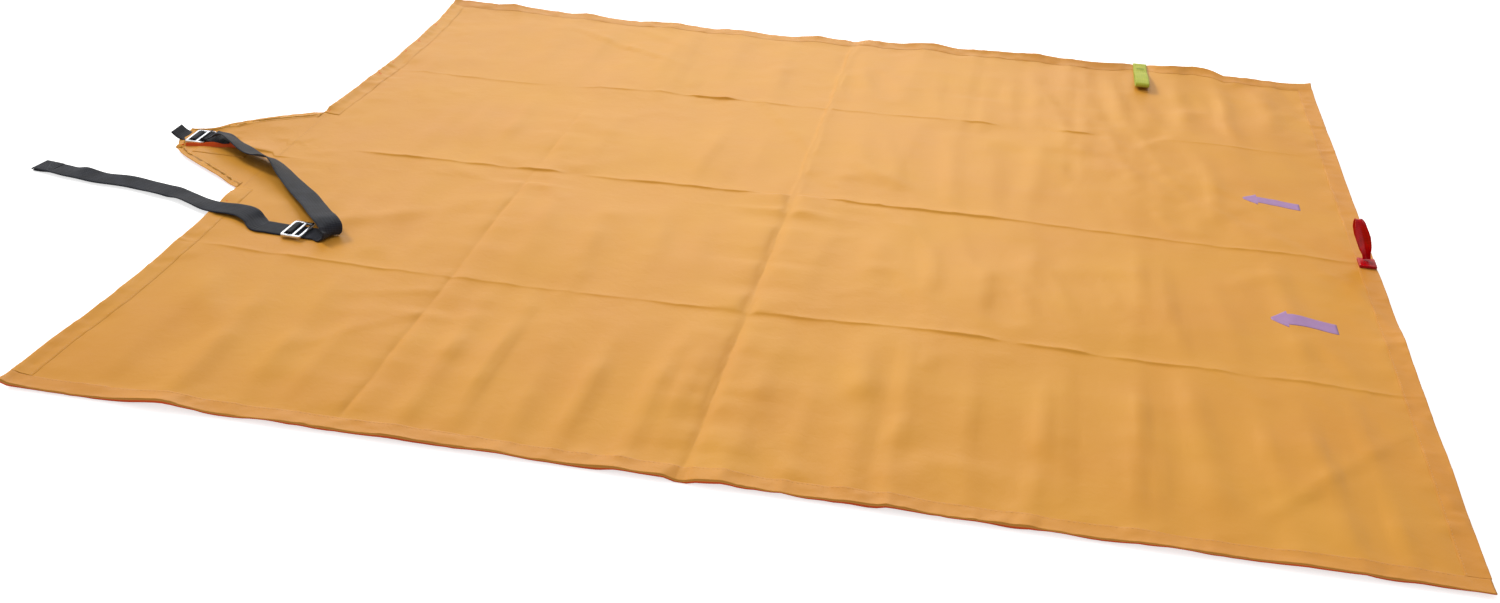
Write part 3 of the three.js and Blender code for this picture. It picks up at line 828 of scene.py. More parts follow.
@dataclass(frozen=True)
class Fold:
    """One line in the cloth, from start to end, standing height above it, or below if negative."""

    start: tuple[float, float]
    end: tuple[float, float]
    height: float
    width: float
    kind: FoldKind = FoldKind.PRESSED
    taper: float = 30.0
    wander: float = 0.0
    steep: float = -1.0  # the side that drops off steeply: -1 right of start to end, 1 left of it

    def lift(self, u: np.ndarray, v: np.ndarray, noise: SmoothNoise) -> np.ndarray:
        """Gives the height that this line adds at each place.

        Args:
            u: along the sheet, in millimetres.
            v: across it.
            noise: what makes the line uneven.

        Returns:
            The added height.
        """
        start, end = np.array(self.start), np.array(self.end)
        reach = np.linalg.norm(end - start)
        way = (end - start) / reach
        along = (u - start[0]) * way[0] + (v - start[1]) * way[1]
        off = (v - start[1]) * way[0] - (u - start[0]) * way[1]
        seed = start[0] * 0.37 + start[1] * 0.11
        if self.wander:
            off = off + self.wander * noise(along / 90 + seed, np.full_like(along, 3.3))
        inside = np.clip(np.minimum(along, reach - along) / self.taper, -1, 1) * 0.5 + 0.5
        inside = inside * inside * (3 - 2 * inside)
        uneven = 1 + 0.45 * noise(along / 38 + seed, off / 200 + seed)
        if self.kind in (FoldKind.PRESSED, FoldKind.VALLEY):
            off = off + 0.9 * noise(along / 17 + 2 * seed, np.full_like(along, 6.1))
            uneven = np.clip(uneven + 0.5 * noise(along / 15 + seed, np.full_like(along, 1.7)), 0.2, 1.35)
        away = np.abs(off) / self.width
        if self.kind is FoldKind.BENT:
            form = np.where(off * self.steep > 0, np.exp(-2.2 * away), np.exp(-0.7 * away))
        elif self.kind is FoldKind.PRESSED:
            drop = np.abs(off) / 2.0
            form = np.where(off * self.steep > 0, np.exp(-(drop**1.4)), np.exp(-away))
        elif self.kind is FoldKind.VALLEY:
            form = (1 - np.exp(-away)) * np.exp(-away / 3.2) * 1.7 + 0.2 * bell(off, 1.4)
        else:
            form = bell(off, self.width)
        return self.height * inside * uneven * form


CENTRE = 44.0  # where the sheet is folded across its middle
AGAIN = -248.0  # where it was folded across again

# pressed lines along the sheet: the row, then the ends, height, width and taper of each stretch
STRETCHES = (
    (6, ((-440, -285, 1.2, 7, 30), (-268, -224, 1.6, 6, 8), (-168, 10, 1.3, 8, 30), (60, 284, 1.4, 8, 30),
         (300, 470, 0.8, 7, 30), (480, 630, 0.9, 6, 30))),
    (-270, ((-500, -284, 0.8, 6, 30), (-250, -80, 0.6, 6, 30), (-50, 10, 0.7, 6, 30), (60, 196, 0.9, 6, 30),
            (200, 276, 1.4, 6, 12), (306, 364, 1.7, 6, 10), (376, 492, 1.0, 6, 30), (522, 632, 1.1, 6, 30))),
    (284, ((-500, -330, 0.6, 6, 30), (-260, -150, 0.8, 6, 30), (-132, -78, 1.9, 6, 10), (-60, 200, 0.6, 6, 30),
           (214, 248, 1.2, 5, 8), (334, 366, 1.3, 5, 8), (470, 600, 0.6, 7, 30))),
)

PACKED = [
    # across the middle, the full width: a valley near, a ridge far
    Fold((CENTRE, -570), (CENTRE, 4), 2.8, 8, FoldKind.VALLEY, taper=4),
    Fold((CENTRE, 4), (CENTRE, 570), 2.4, 9, taper=8, steep=1),
    *(
        Fold((start, row), (end, row), height, width, taper=taper)
        for row, stretches in STRETCHES
        for start, end, height, width, taper in stretches
    ),
    # across, where it was folded again
    Fold((AGAIN, -545), (AGAIN, -16), 2.0, 6, FoldKind.VALLEY, wander=1),
    Fold((AGAIN, 20), (AGAIN, 190), 1.6, 6, FoldKind.VALLEY, wander=1),
    Fold((-132, -310), (-128, -214), 1.3, 6, taper=20),
    Fold((-134, 306), (-140, 380), 1.3, 6, taper=20),
    Fold((-128, -545), (-132, -330), 0.8, 8),
    Fold((222, 234), (226, 545), 1.6, 7, FoldKind.VALLEY, wander=1),
    Fold((220, -345), (228, -250), 1.5, 6, taper=18),
    Fold((346, 150), (350, 530), 1.6, 7, FoldKind.VALLEY, wander=1),
    Fold((344, -534), (348, -286), 0.9, 8),
    # slanting, from being gathered up
    Fold((-330, 490), (-168, 384), 2.0, 10, wander=3),
    Fold((-250, 520), (-150, 440), 1.1, 10),
    Fold((-52, 300), (40, 150), 1.5, 10, wander=2),
    Fold((340, 270), (590, 30), 1.4, 10, FoldKind.VALLEY, taper=50, wander=2),
    Fold((372, 280), (600, 80), 0.9, 12, taper=50),
    Fold((500, -506), (632, -346), 1.5, 10, taper=40),
    Fold((-330, -436), (-246, -348), 1.2, 10),
    Fold((-330, -330), (-240, -300), 0.9, 10),
    Fold((470, -262), (520, -320), 1.3, 8, taper=14),
    Fold((-232, -34), (-196, -70), 1.6, 8, taper=14),
    Fold((470, 300), (420, 250), 1.1, 9),
    Fold((-470, 210), (-420, 130), 0.8, 10),
    Fold((-480, -330), (-420, -420), 1.3, 14, FoldKind.RIPPLE),
    Fold((-400, -180), (-300, -120), 1.2, 13, FoldKind.RIPPLE),
    Fold((100, 120), (170, 60), 1.2, 12, FoldKind.RIPPLE),
    Fold((560, -120), (600, -230), 1.4, 13, FoldKind.RIPPLE),
]


def handling_ripples() -> list[Fold]:
    """Lists the soft waves that run across the sheet, near side first.

    Returns:
        The waves.
    """
    near = (-462, -398, -342, -302, -198, -150, -104, -62, -12, 20, 78, 122, 178, 206, 270, 318, 400, 420, 466, 520)
    inner = (-400, -352, -310, -196, -140, -70, -20, 96, 150, 210, 262, 300, 410, 452, 500, 560)
    far = (-420, -350, -294, -190, -160, -96, -30, 84, 140, 182, 268, 300, 410, 436, 486, 540, 590)
    bands = (
        ((*near, 566, 606), -552, -296, 3.6), (inner, -250, -30, 2.0), (inner, 30, 250, 1.8), (far, 300, 550, 2.3)
    )
    pick = np.random.default_rng(11)
    waves = []
    for spots, low, high, tall in bands:
        for x in spots:
            start = (x, low + pick.uniform(0, 40))
            end = (x + pick.uniform(-16, 10), high - pick.uniform(0, 80))
            height = tall * pick.uniform(0.5, 1.15)
            kind, steep = pick.choice((FoldKind.BENT, FoldKind.RIPPLE)), pick.choice((-1.0, 1.0))
            waves.append(Fold(start, end, height, pick.uniform(9, 15), kind, 60, 4, steep))
    return waves


def smooth_step(low: float, high: float, at: np.ndarray) -> np.ndarray:
    """Rises smoothly from 0 at low to 1 at high."""
    share = np.clip((at - low) / (high - low), 0, 1)
    return share * share * (3 - 2 * share)


def bell(off: np.ndarray, wide: float | np.ndarray) -> np.ndarray:
    """Falls off evenly on both sides, from 1 where off is nought."""
    return np.exp(-((off / wide) ** 2))


def table(rows: tuple, at: np.ndarray) -> np.ndarray:
    """Reads a table of (place, value) between its rows."""
    keys = np.array(rows, float)
    return np.interp(at, keys[:, 0], keys[:, 1])


@dataclass
class Drape:
    """How high the cloth stands, and how far its lines and edges stray from straight."""

    covers: np.ndarray  # (x, y, z, reach, slope) of what lies over the cloth, and where it counts
    low: np.ndarray  # the sheet's corners, without the tab
    high: np.ndarray
    tab_tip: float
    tab_tip_half: float
    tab_base_half: float
    tab_middle: float
    green_x: float
    red_y: float
    rest: float = 1.0
    pleat_row: float = -38.0
    folds: list[Fold] = field(default_factory=lambda: PACKED + handling_ripples())
    swell: SmoothNoise = field(default_factory=lambda: SmoothNoise(3))
    grain: SmoothNoise = field(default_factory=lambda: SmoothNoise(5))
    stray: SmoothNoise = field(default_factory=lambda: SmoothNoise(8))
    # the pleat beside the tab's slide: along the tab, where its foot runs, and how high it stands
    pleat_foot: tuple = (
        (-660, -52), (-652, -50), (-642, -44), (-626, -40.5), (-610, -38.5), (-597, -36), (-575, -36), (-540, -38),
    )
    pleat_rise: tuple = (
        (-660, 1.6), (-652, 2.9), (-640, 3.2), (-627, 3.6), (-619, 5.4), (-610, 7.2), (-600, 8.0), (-588, 5.6),
        (-574, 3.2), (-560, 1.8), (-540, 0.8), (-505, 0.0),
    )
    # the tab's far side is drawn in beside its tip
    tab_gather: tuple = (
        (-660, 15), (-652, 18), (-642, 24), (-632, 22), (-624, 14), (-616, 14), (-600, 8), (-575, 3), (-540, 0),
    )
    # the packing lines: their row, then how far each strays along its length
    strays: tuple = (
        (6, ((-500, -10), (-430, -9), (-285, -6), (-222, -4), (-168, -4), (10, 2), (60, 6), (284, 6), (470, 0),
             (630, -4))),
        (-270, ((-500, 3), (-284, -5), (-80, -2), (10, -2), (196, 6), (272, 4), (362, 0), (490, -2), (632, -5))),
        (284, ((-500, -22), (-330, -16), (-150, -4), (-80, -1), (200, 8), (350, 6), (470, 16), (600, 12))),
    )
    # the far edge: along it, how far out it shows
    far_edge: tuple = (
        (-540, 6), (-500, 1), (-475, 1), (-452, 9), (-410, 4), (-370, -4), (-345, 2), (-310, -4), (-262, -10),
        (-246, -5), (-215, -1), (-190, -8), (-158, -12), (-134, -7), (-100, -7), (-70, -10), (-38, -7),
        (-6, 4), (18, 0), (34, 0), (50, 12), (82, 7), (106, 7), (130, 13), (154, 19), (186, 8), (226, 12),
        (266, 17), (298, 21), (330, 13), (362, 10), (394, 16), (420, 22), (460, 20), (490, 27), (506, 33),
        (530, 25), (546, 8), (570, 6), (602, 3), (634, 1), (660, 8),
    )
    # the near edge: along it, how high it stands off the floor
    near_edge: tuple = (
        (-540, 3.5), (-528, 2.6), (-512, 1.4), (-500, 0.8), (-470, 1.0), (-440, 2.4), (-412, 5.2), (-388, 5.6),
        (-360, 2.2), (-330, 1.2), (-290, 3.2), (-240, 1.6), (-200, 3.4), (-150, 1.8), (-110, 3.0), (-60, 1.4),
        (-20, 3.2), (40, 2.4), (90, 3.4), (140, 1.4), (200, 3.4), (250, 1.6), (310, 3.2), (370, 1.4),
        (420, 3.4), (470, 1.8), (520, 3.4), (570, 2.0), (620, 3.0), (660, 1.2),
    )
    # the edge that has the tab: along it, how far in it bows
    tab_edge_bow: tuple = (
        (-560, -4), (-480, -3), (-400, 4), (-240, 4), (-134, 0), (94, 0), (180, 6), (320, 11), (440, 8), (520, 2),
        (560, 0),
    )

    def ceiling(self, x: np.ndarray, y: np.ndarray) -> np.ndarray:
        """Finds the height that what lies above leaves the cloth.

        Args:
            x: along the floor, in millimetres.
            y: across it.

        Returns:
            The most height at each place.
        """
        most = np.full(x.shape, 1e3)
        for px, py, pz, reach, slope in self.covers:
            most = np.minimum(most, pz + slope * np.maximum(np.hypot(x - px, y - py) - reach, 0))
        return most

    def tab_half_at(self, u: np.ndarray) -> np.ndarray:
        """Gives the tab's half width at u."""
        share = np.clip((u - self.tab_tip) / (self.low[0] - self.tab_tip), 0, 1)
        return self.tab_tip_half + (self.tab_base_half - self.tab_tip_half) * share

    def tab_lines(self, u: np.ndarray) -> tuple[tuple, tuple]:
        """Finds the tab's near edge, its pleat's foot and its far edge.

        Args:
            u: along the sheet, in millimetres.

        Returns:
            The places of the three at u, and the sheet's rows that run into them.
        """
        half, base = self.tab_half_at(u), self.tab_base_half
        places = self.tab_middle - half, table(self.pleat_foot, u), self.tab_middle + half
        return places, (self.tab_middle - base, self.pleat_row, self.tab_middle + base)

    def tab_across(self, u: np.ndarray, row: np.ndarray) -> np.ndarray:
        """Carries one of the sheet's rows on into the tab.

        Args:
            u: along the sheet, in millimetres.
            row: the sheet's row.

        Returns:
            The place across the tab.
        """
        (near, foot, far), (first, middle, last) = self.tab_lines(u)
        low = near + (row - first) / (middle - first) * (foot - near)
        high = foot + (row - middle) / (last - middle) * (far - foot)
        return np.where(row < middle, low, high)

    def tab_row(self, u: np.ndarray, v: np.ndarray) -> np.ndarray:
        """Finds the row that crosses a place on the tab, the other way round from tab_across.

        Args:
            u: along the sheet, in millimetres.
            v: across it.

        Returns:
            The row.
        """
        (near, foot, far), (first, middle, last) = self.tab_lines(u)
        low = first + (v - near) / (foot - near) * (middle - first)
        high = middle + (v - foot) / (far - foot) * (last - middle)
        return np.where(v < foot, low, high)

    def tab_height(self, u: np.ndarray, v: np.ndarray) -> np.ndarray:
        """Raises the pleat beside the tab's slide, and the tab's crumpled far side.

        Args:
            u: along the sheet, in millimetres.
            v: across it.

        Returns:
            The added height.
        """
        off = v - table(self.pleat_foot, u)
        back = 2.4 + 9.0 * smooth_step(-600, -585, u)
        wall = smooth_step(-0.6, 2.6, off) * bell(np.maximum(off - 2.6, 0), back)
        pleat = table(self.pleat_rise, u) * wall
        far = 2.4 * bell(v - 42, 22) * bell(u + 590, 36)
        folds = 1.3 * (1 + self.stray(u / 17 + 3, v / 26)) * smooth_step(2, 14, v) * bell(u + 632, 26)
        slant = self.grain((0.8 * u + 0.6 * v) / 15, (0.8 * v - 0.6 * u) / 44)
        folds += 2.2 * np.maximum(0.4 - np.abs(slant), 0) * smooth_step(-52, -30, v)
        edge = np.clip(self.tab_half_at(u) - np.abs(v - self.tab_middle), 0, 60)
        curl = 0.8 * (1 + self.stray(u / 26, v / 90)) * np.exp(-edge / 9) * (u < self.low[0] + 4)
        return pleat + far + folds + curl

    def shape(self, u: np.ndarray, v: np.ndarray) -> np.ndarray:
        """Lays the cloth.

        Args:
            u: along the flat cloth, in millimetres.
            v: across it.

        Returns:
            (..., 3) points on the cloth's upper face.
        """
        far = self.high[1] - v
        near = v - self.low[1]
        left = u - self.low[0]
        right = self.high[0] - u
        on_sheet = u >= self.low[0] - 1e-6
        x, y = u.copy(), v.copy()
        z = np.full(u.shape, self.rest)

        swell = self.swell(u / 150 + 2.3, v / 170 + 5.1)
        by_fold = bell(u - CENTRE, 24)
        z += 2.2 * (1 - by_fold) * np.clip(swell + 0.15, 0, 1) ** 1.3
        z += 1.3 * (1 - by_fold) * np.clip(self.swell(u / 58, v / 105 + 9), 0, 1)
        z += 0.5 * self.grain(u / 26, v / 70) * smooth_step(270, 300, v)
        # crumpled facets, where a noise crosses nought, stronger in some parts than in others
        rough = 0.45 + 0.55 * smooth_step(-0.2, 0.5, self.stray(u / 120 + 1, v / 130 + 2))
        for wide, tall, size in ((40, 120, 2.2), (24, 66, 1.3), (13, 26, 0.5)):
            ridges = np.abs(self.grain((u + 0.25 * v) / wide + tall, (v - 0.2 * u) / tall + wide))
            z += size * rough * np.maximum(0.45 - ridges, 0)
        for fold in self.folds:
            z += on_sheet * fold.lift(u, v, self.stray)

        for row, line in self.strays:
            loose = 1.3 * self.stray(u / 34 + row, v * 0 + 0.5)
            y += on_sheet * (table(line, u) + loose) * bell(v - row, 70)
        x += on_sheet * 1.5 * self.stray(v / 60, u * 0 + 7.5) * bell(u - CENTRE, 50)

        shows = table(self.far_edge, u)
        by_green = bell(u - self.green_x, 24)
        lifted = np.clip((shows + 16) * 0.2, 0.4, 7.5) * (1 - by_green) + by_green * 1.2
        out = np.clip(shows - 2.6 * lifted, -16, 14)
        z += on_sheet * lifted * np.exp(-np.maximum(far, 0) / 17)
        y += on_sheet * out * bell(far, 150)

        stands = table(self.near_edge, u)
        z += on_sheet * stands * np.exp(-np.maximum(near, 0) / 13)
        side_lift = 1.6 + 1.4 * self.stray(v / 55, 4.4 + 0 * v)
        by_red = bell(v - self.red_y, 34)
        z += on_sheet * side_lift * (1 - by_red) * np.exp(-right / 12)
        beside_tab = np.abs(v - self.tab_middle) > self.tab_base_half + 8
        z += (on_sheet & beside_tab) * side_lift * np.exp(-np.maximum(left, 0) / 12)
        x += on_sheet * table(self.tab_edge_bow, v) * bell(left, 160)

        rim = np.minimum(np.minimum(near, far), np.minimum(right, np.where(beside_tab, left, 999)))
        drawn = self.stray((u + 0.4 * v) / 15, (v - 0.4 * u) / 15) + 0.6 * self.stray(u / 9 + 4, v / 9)
        z += on_sheet * 0.9 * np.clip(drawn, -0.3, 1) * bell(rim - 20, 13)

        z += self.tab_height(u, v) * (u < self.low[0] + 60)
        half = self.tab_half_at(u)
        share = np.clip((v + 8) / (self.tab_middle + half + 8), 0, 1)
        y -= ~on_sheet * table(self.tab_gather, u) * share**1.3
        x += 7 * bell(u - self.tab_tip, 16) * smooth_step(-28, -50, v)
        z = np.minimum(z, 2.7 + 0.3 * np.maximum(np.abs(u - CENTRE) - 3, 0))  # the fold's hinge lies just above
        z = np.minimum(z, self.ceiling(x, y))
        return np.stack([x, y, np.maximum(z, 0.45)], axis=-1)


# ---------------------------------------------------------------- cloth


def graded(low: float, high: float, step: float, extra: list[float]) -> np.ndarray:
    """Spaces grid lines evenly between some that are set.

    Args:
        low: the first line.
        high: the last line.
        step: the even spacing.
        extra: the lines that are set.

    Returns:
        The lines in order.
    """
    fixed = [low]
    for e in sorted(e for e in extra if low < e < high):
        if e - fixed[-1] > 0.7:
            fixed.append(e)
    fixed.append(high)
    lines = [fixed[0]]
    for a, b in zip(fixed, fixed[1:]):
        count = max(int(round((b - a) / step)), 1)
        lines += [a + (b - a) * i / count for i in range(1, count + 1)]
    return np.array(lines)


class Grid:
    """A net of points over part of the cloth, read between its lines."""

    def __init__(self, us: np.ndarray, vs: np.ndarray, points: np.ndarray) -> None:
        """Keeps the lines and the points.

        Args:
            us: the lines along.
            vs: the lines across.
            points: (len(vs), len(us), 3) points.
        """
        self.us, self.vs, self.points = us, vs, points

    def at(self, u: np.ndarray, v: np.ndarray) -> np.ndarray:
        """Reads the net at places, going on straight past its rim.

        Args:
            u: along.
            v: across.

        Returns:
            (n, 3) points.
        """
        i = np.clip(np.searchsorted(self.us, u) - 1, 0, len(self.us) - 2)
        j = np.clip(np.searchsorted(self.vs, v) - 1, 0, len(self.vs) - 2)
        a = ((u - self.us[i]) / (self.us[i + 1] - self.us[i]))[..., None]
        b = ((v - self.vs[j]) / (self.vs[j + 1] - self.vs[j]))[..., None]
        p = self.points
        low = p[j, i] * (1 - a) + p[j, i + 1] * a
        high = p[j + 1, i] * (1 - a) + p[j + 1, i + 1] * a
        return low * (1 - b) + high * b


@dataclass
class Cloth:
    """The orange sheet and its tab: one cloth, turned hems, their stitches, a bare patch, two arrows."""

    drape: Drape
    thick: float = 0.35
    hem: float = 19.0
    tab_hem: float = 12.0
    seam: float = 17.0
    tab_seam: float = 10.0
    hem_rise: float = 0.27
    stitch_pitch: float = 4.0
    step: float = 6.9
    fold_from: float = 24.0  # the band across the middle, between this line and the next, where the real sheet folds in two
    fold_to: float = 64.0
    sheet_grid: Grid | None = None
    tab_grid: Grid | None = None

    def fit(self) -> None:
        """Lays the two nets of points."""
        d = self.drape
        x0, x1, y0, y1 = d.low[0], d.high[0], d.low[1], d.high[1]
        inset = (3.0, 8.0, 13.0, 17.0, 20.0, 24.0)
        steps = (-9.0, -5.5, -3.5, -2.2, -1.1, 0.0, 1.1, 2.8, 5.5, 9.0)
        us = graded(
            x0, x1, self.step,
            [x0 + i for i in inset] + [x1 - i for i in inset]
            + [CENTRE + s for s in (-19, -13, -8.5, -5.5, -3.5, -1.9, -0.9, 0, 0.9, 1.9, 3.5, 5.5, 8.5, 13, 19)]
            + [AGAIN + s for s in (-8, -4, -1.5, 0, 1.5, 4, 8)],
        )
        base_near, base_far = d.tab_middle - d.tab_base_half, d.tab_middle + d.tab_base_half
        vs = graded(
            y0, y1, self.step,
            [y0 + i for i in inset] + [y1 - i for i in inset] + [base_near, base_far]
            + [row + s for row, _ in d.strays for s in steps]
            + [d.pleat_row + s for s in (-3, -1.5, -0.6, 0.4, 1.3, 2.2, 3.2, 5.0, 8.0, 12.0)],
        )
        u, v = np.meshgrid(us, vs)
        self.sheet_grid = Grid(us, vs, d.shape(u, v))
        rows = np.flatnonzero((vs > base_near - 1e-6) & (vs < base_far + 1e-6))
        tab_us = graded(d.tab_tip, x0, 5.0, [d.tab_tip + i for i in (2.5, 6, 10, 12.5, 15)])
        u, row = np.meshgrid(tab_us, vs[rows])
        points = d.shape(u, d.tab_across(u, row))
        points[:, -1] = self.sheet_grid.points[rows, 0]
        self.tab_grid = Grid(tab_us, vs[rows], points)
        log.info("nets of %d by %d and %d by %d", len(us), len(vs), len(tab_us), len(rows))

    def place(self, u: np.ndarray, v: np.ndarray, lift: np.ndarray | float = 0.0) -> np.ndarray:
        """Finds points on or above the laid cloth.

        Args:
            u: along the flat cloth, in millimetres.
            v: across it.
            lift: how far above its upper face.

        Returns:
            (n, 3) points.
        """
        u, v = np.broadcast_arrays(np.asarray(u, float), np.asarray(v, float))
        at = self.read(u, v)
        along = self.read(u + 1.0, v) - self.read(u - 1.0, v)
        across = self.read(u, v + 1.0) - self.read(u, v - 1.0)
        return at + unit(np.cross(along, across)) * np.asarray(lift)[..., None]

    def read(self, u: np.ndarray, v: np.ndarray) -> np.ndarray:
        """Reads whichever net covers each place.

        Args:
            u: along the sheet, in millimetres.
            v: across it.

        Returns:
            (n, 3) points.
        """
        d = self.drape
        on_sheet = (u >= d.low[0])[..., None]
        beside = (np.abs(v - d.tab_middle) > d.tab_base_half)[..., None]
        sheet = self.sheet_grid.at(u, v)
        tab = self.tab_grid.at(u, d.tab_row(u, v))
        return np.where(on_sheet | beside, sheet, tab)

    def build_cloth(
        self, top: bpy.types.Material, under: bpy.types.Material, lip: bpy.types.Material
    ) -> bpy.types.Object:
        """Models the cloth itself as one shell.

        Args:
            top: the coated face.
            under: the bare face, a deeper, darker orange that is partly the cloth's own tone and partly painted
                shade.
            lip: a brighter red-orange on the pleat's wall, painted for the glow of light through the cloth in the
                wall's shade.

        Returns:
            The piece.
        """
        points, uvs, faces, glow_painted_faces, first = [], [], [], [], 0
        for grid in (self.sheet_grid, self.tab_grid):
            on_tab = grid is self.tab_grid
            points.append(grid.points.reshape(-1, 3))
            u, v = np.meshgrid(grid.us, grid.vs)
            if on_tab:
                v = self.drape.tab_across(u, v)
            uvs.append(np.column_stack([u.ravel(), v.ravel()]))
            faces.append(net_faces(*u.shape, first))
            first += u.size
            off = (v - table(self.drape.pleat_foot, u))[:-1, :-1]  # the pleat's wall is painted in the brighter red-orange of light glowing through the cloth in its shade
            shows = (off > -0.6) & (off < 2.4) & (u[:-1, :-1] > -660) & (u[:-1, :-1] < -592)
            glow_painted_faces.append((shows & on_tab).ravel())
        cloth = new_piece("sheet_cloth", np.vstack(points), np.vstack(faces), np.vstack(uvs), outward=False)
        dress(cloth, top, under, lip)
        # the pleat wall's faces take the third material, the painted glow
        cloth.data.polygons.foreach_set("material_index", 2 * np.concatenate(glow_painted_faces).astype(np.int32))
        shell = bmesh.new()
        shell.from_mesh(cloth.data)
        bmesh.ops.remove_doubles(shell, verts=shell.verts, dist=0.005 * MM)
        shell.to_mesh(cloth.data)
        shell.free()
        finish_with(
            cloth, "SOLIDIFY", thickness=self.thick * MM, offset=-1.0, material_offset=1,
            material_offset_rim=0, use_quality_normals=True,
        )
        self.bend(cloth, (top, under, lip), "orange_cloth", "panel_tab_half", "panel_loop_half", "tab_panel")
        return cloth

    def hem_section(self, width: float, rise: float) -> tuple[np.ndarray, np.ndarray]:
        """Draws a turned hem's cross-section.

        Args:
            width: from the cloth's edge in.
            rise: how far the turned layers stand above the cloth.

        Returns:
            Distances in from the edge, and heights above the cloth's upper face, once round.
        """
        seam, flat = width - 2.0, 12.0 if width > 15 else 7.5
        top = [0.6, -0.35, -0.75, -0.55, 0.3, 1.6, 4.5, 8.5, flat, seam - 1.3, seam, seam + 0.9, width - 0.35, width]
        inward = np.array([*top, width - 0.4, width - 4, min(8.0, width - 5.5), 3.0])
        over = [-0.42, -0.3, 0.2, 0.62, 0.9, 1.0, 1.0, 1.04, 1.0, 1.0, 0.95, 0.85, 0.5, 0.25, 0.05, 0.05, 0.05, 0.05]
        over = np.array(over)
        return inward, np.where(over > 0.1, over * rise, over)

    def build_hem(
        self, name: str, edge: np.ndarray, inward: tuple[float, float], width: float, hang: np.ndarray | float = 0.3
    ) -> bpy.types.Object:
        """Turns one hem along an edge.

        Args:
            name: the piece's name.
            edge: (n, 2) places along the flat cloth's edge.
            inward: the way in, on the flat cloth.
            width: the hem's width, along inward.
            hang: how far its outer lip hangs below the edge, in millimetres.

        Returns:
            The piece.
        """
        distance, over = self.hem_section(width, self.hem_rise)
        count, around = len(edge), len(distance)
        reach, gather = distances(edge)[:, None], self.drape.stray
        u = edge[:, :1] + inward[0] * distance
        v = edge[:, 1:] + inward[1] * distance
        ease = 0.9 * (over > 0.15) * (1 - np.exp(-(((distance - (width - 2.0)) / 3.5) ** 2)))
        seed = abs(edge[0, 0]) * 0.013 + abs(edge[0, 1]) * 0.029
        pucker = 0.6 * gather(reach / 7.5 + seed, distance / 14 + seed)
        pucker = pucker + 0.5 * gather(reach / 19 + seed, distance / 9 + 2 * seed)
        lift = over + ease * np.clip(pucker, -0.1, 0.8)
        points = self.place(u, v, lift)
        hang = np.broadcast_to(hang, (count,))[:, None]
        points[:, :3, 2] = np.maximum(points[:, :3, 2] - hang * np.array([0.9, 1.0, 0.5]), 0.1)
        hem = closed_tube(name, points, np.stack([u, v], axis=-1))
        # the faces round the outer lip take the second material, which in build_hems is a brighter red-orange
        # painted for the glow of light through the cloth in the shade under the edge
        under = np.zeros((count - 1, around), np.int32)
        under[:, [0, 1, around - 1, around - 2]] = 1
        for _ in range(2):
            hem.data.materials.append(None)
        hem.data.polygons.foreach_set("material_index", np.append(under.ravel(), [0, 0]).astype(np.int32))
        return hem

    def edge_line(self, start: tuple[float, float], end: tuple[float, float]) -> np.ndarray:
        """Samples a straight line on the flat cloth, on the net's lines and halfway between them.

        Args:
            start: its first place.
            end: its last place.

        Returns:
            (n, 2) places.
        """
        start, end = np.array(start, float), np.array(end, float)
        if start[0] < self.drape.low[0] - 1 or end[0] < self.drape.low[0] - 1:
            lines, axis = self.tab_grid.us, 0
            if abs(start[0] - end[0]) < 1:
                count = int(abs(end[1] - start[1]) / 2.5) + 1
                return start + (end - start) * np.linspace(0, 1, count)[:, None]
        else:
            axis = 0 if abs(end[0] - start[0]) > abs(end[1] - start[1]) else 1
            lines = self.sheet_grid.us if axis == 0 else self.sheet_grid.vs
        low, high = sorted((start[axis], end[axis]))
        kept = lines[(lines > low + 0.2) & (lines < high - 0.2)]
        marks = np.concatenate([[low], kept, [high]])
        marks = np.sort(np.concatenate([marks, (marks[1:] + marks[:-1]) / 2]))
        if start[axis] > end[axis]:
            marks = marks[::-1]
        share = (marks - start[axis]) / (end[axis] - start[axis])
        return start + (end - start) * share[:, None]

    def seam_rows(self, start: tuple[float, float], end: tuple[float, float], lift: float) -> list:
        """Spaces stitches along a line on the flat cloth.

        Args:
            start: its first place.
            end: its last place.
            lift: how far above the cloth they lie.

        Returns:
            (middle, direction) pairs.
        """
        start, end = np.array(start, float), np.array(end, float)
        reach = np.linalg.norm(end - start)
        count = max(int(reach / self.stitch_pitch), 1)
        share = (np.arange(count) + 0.5) / count
        half = 1.2 / reach
        middle, before, after = (
            self.place(start[0] + (end[0] - start[0]) * s, start[1] + (end[1] - start[1]) * s, np.full(count, lift))
            for s in (share, share - half, share + half)
        )
        return list(zip(middle, unit(after - before)))

    def bend(
        self, piece: bpy.types.Object, materials: tuple[bpy.types.Material, ...], slot: str, *nodes: str
    ) -> None:
        """Dresses a piece, hides the CAD nodes that it stands for and bakes its place into its mesh.

        Args:
            piece: the piece.
            materials: its materials, in order.
            slot: not used.
            nodes: the CAD nodes that it stands for.
        """
        dress(piece, *materials)
        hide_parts(*nodes)
        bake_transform(piece)
        log.info("%s bends across the fold", piece.name)

    def tab_slant(self, width: float) -> float:
        """Gives how far a width square to the tab's slanting side measures straight across the tab."""
        d = self.drape
        return width * math.hypot(1, (d.tab_base_half - d.tab_tip_half) / (d.low[0] - d.tab_tip))

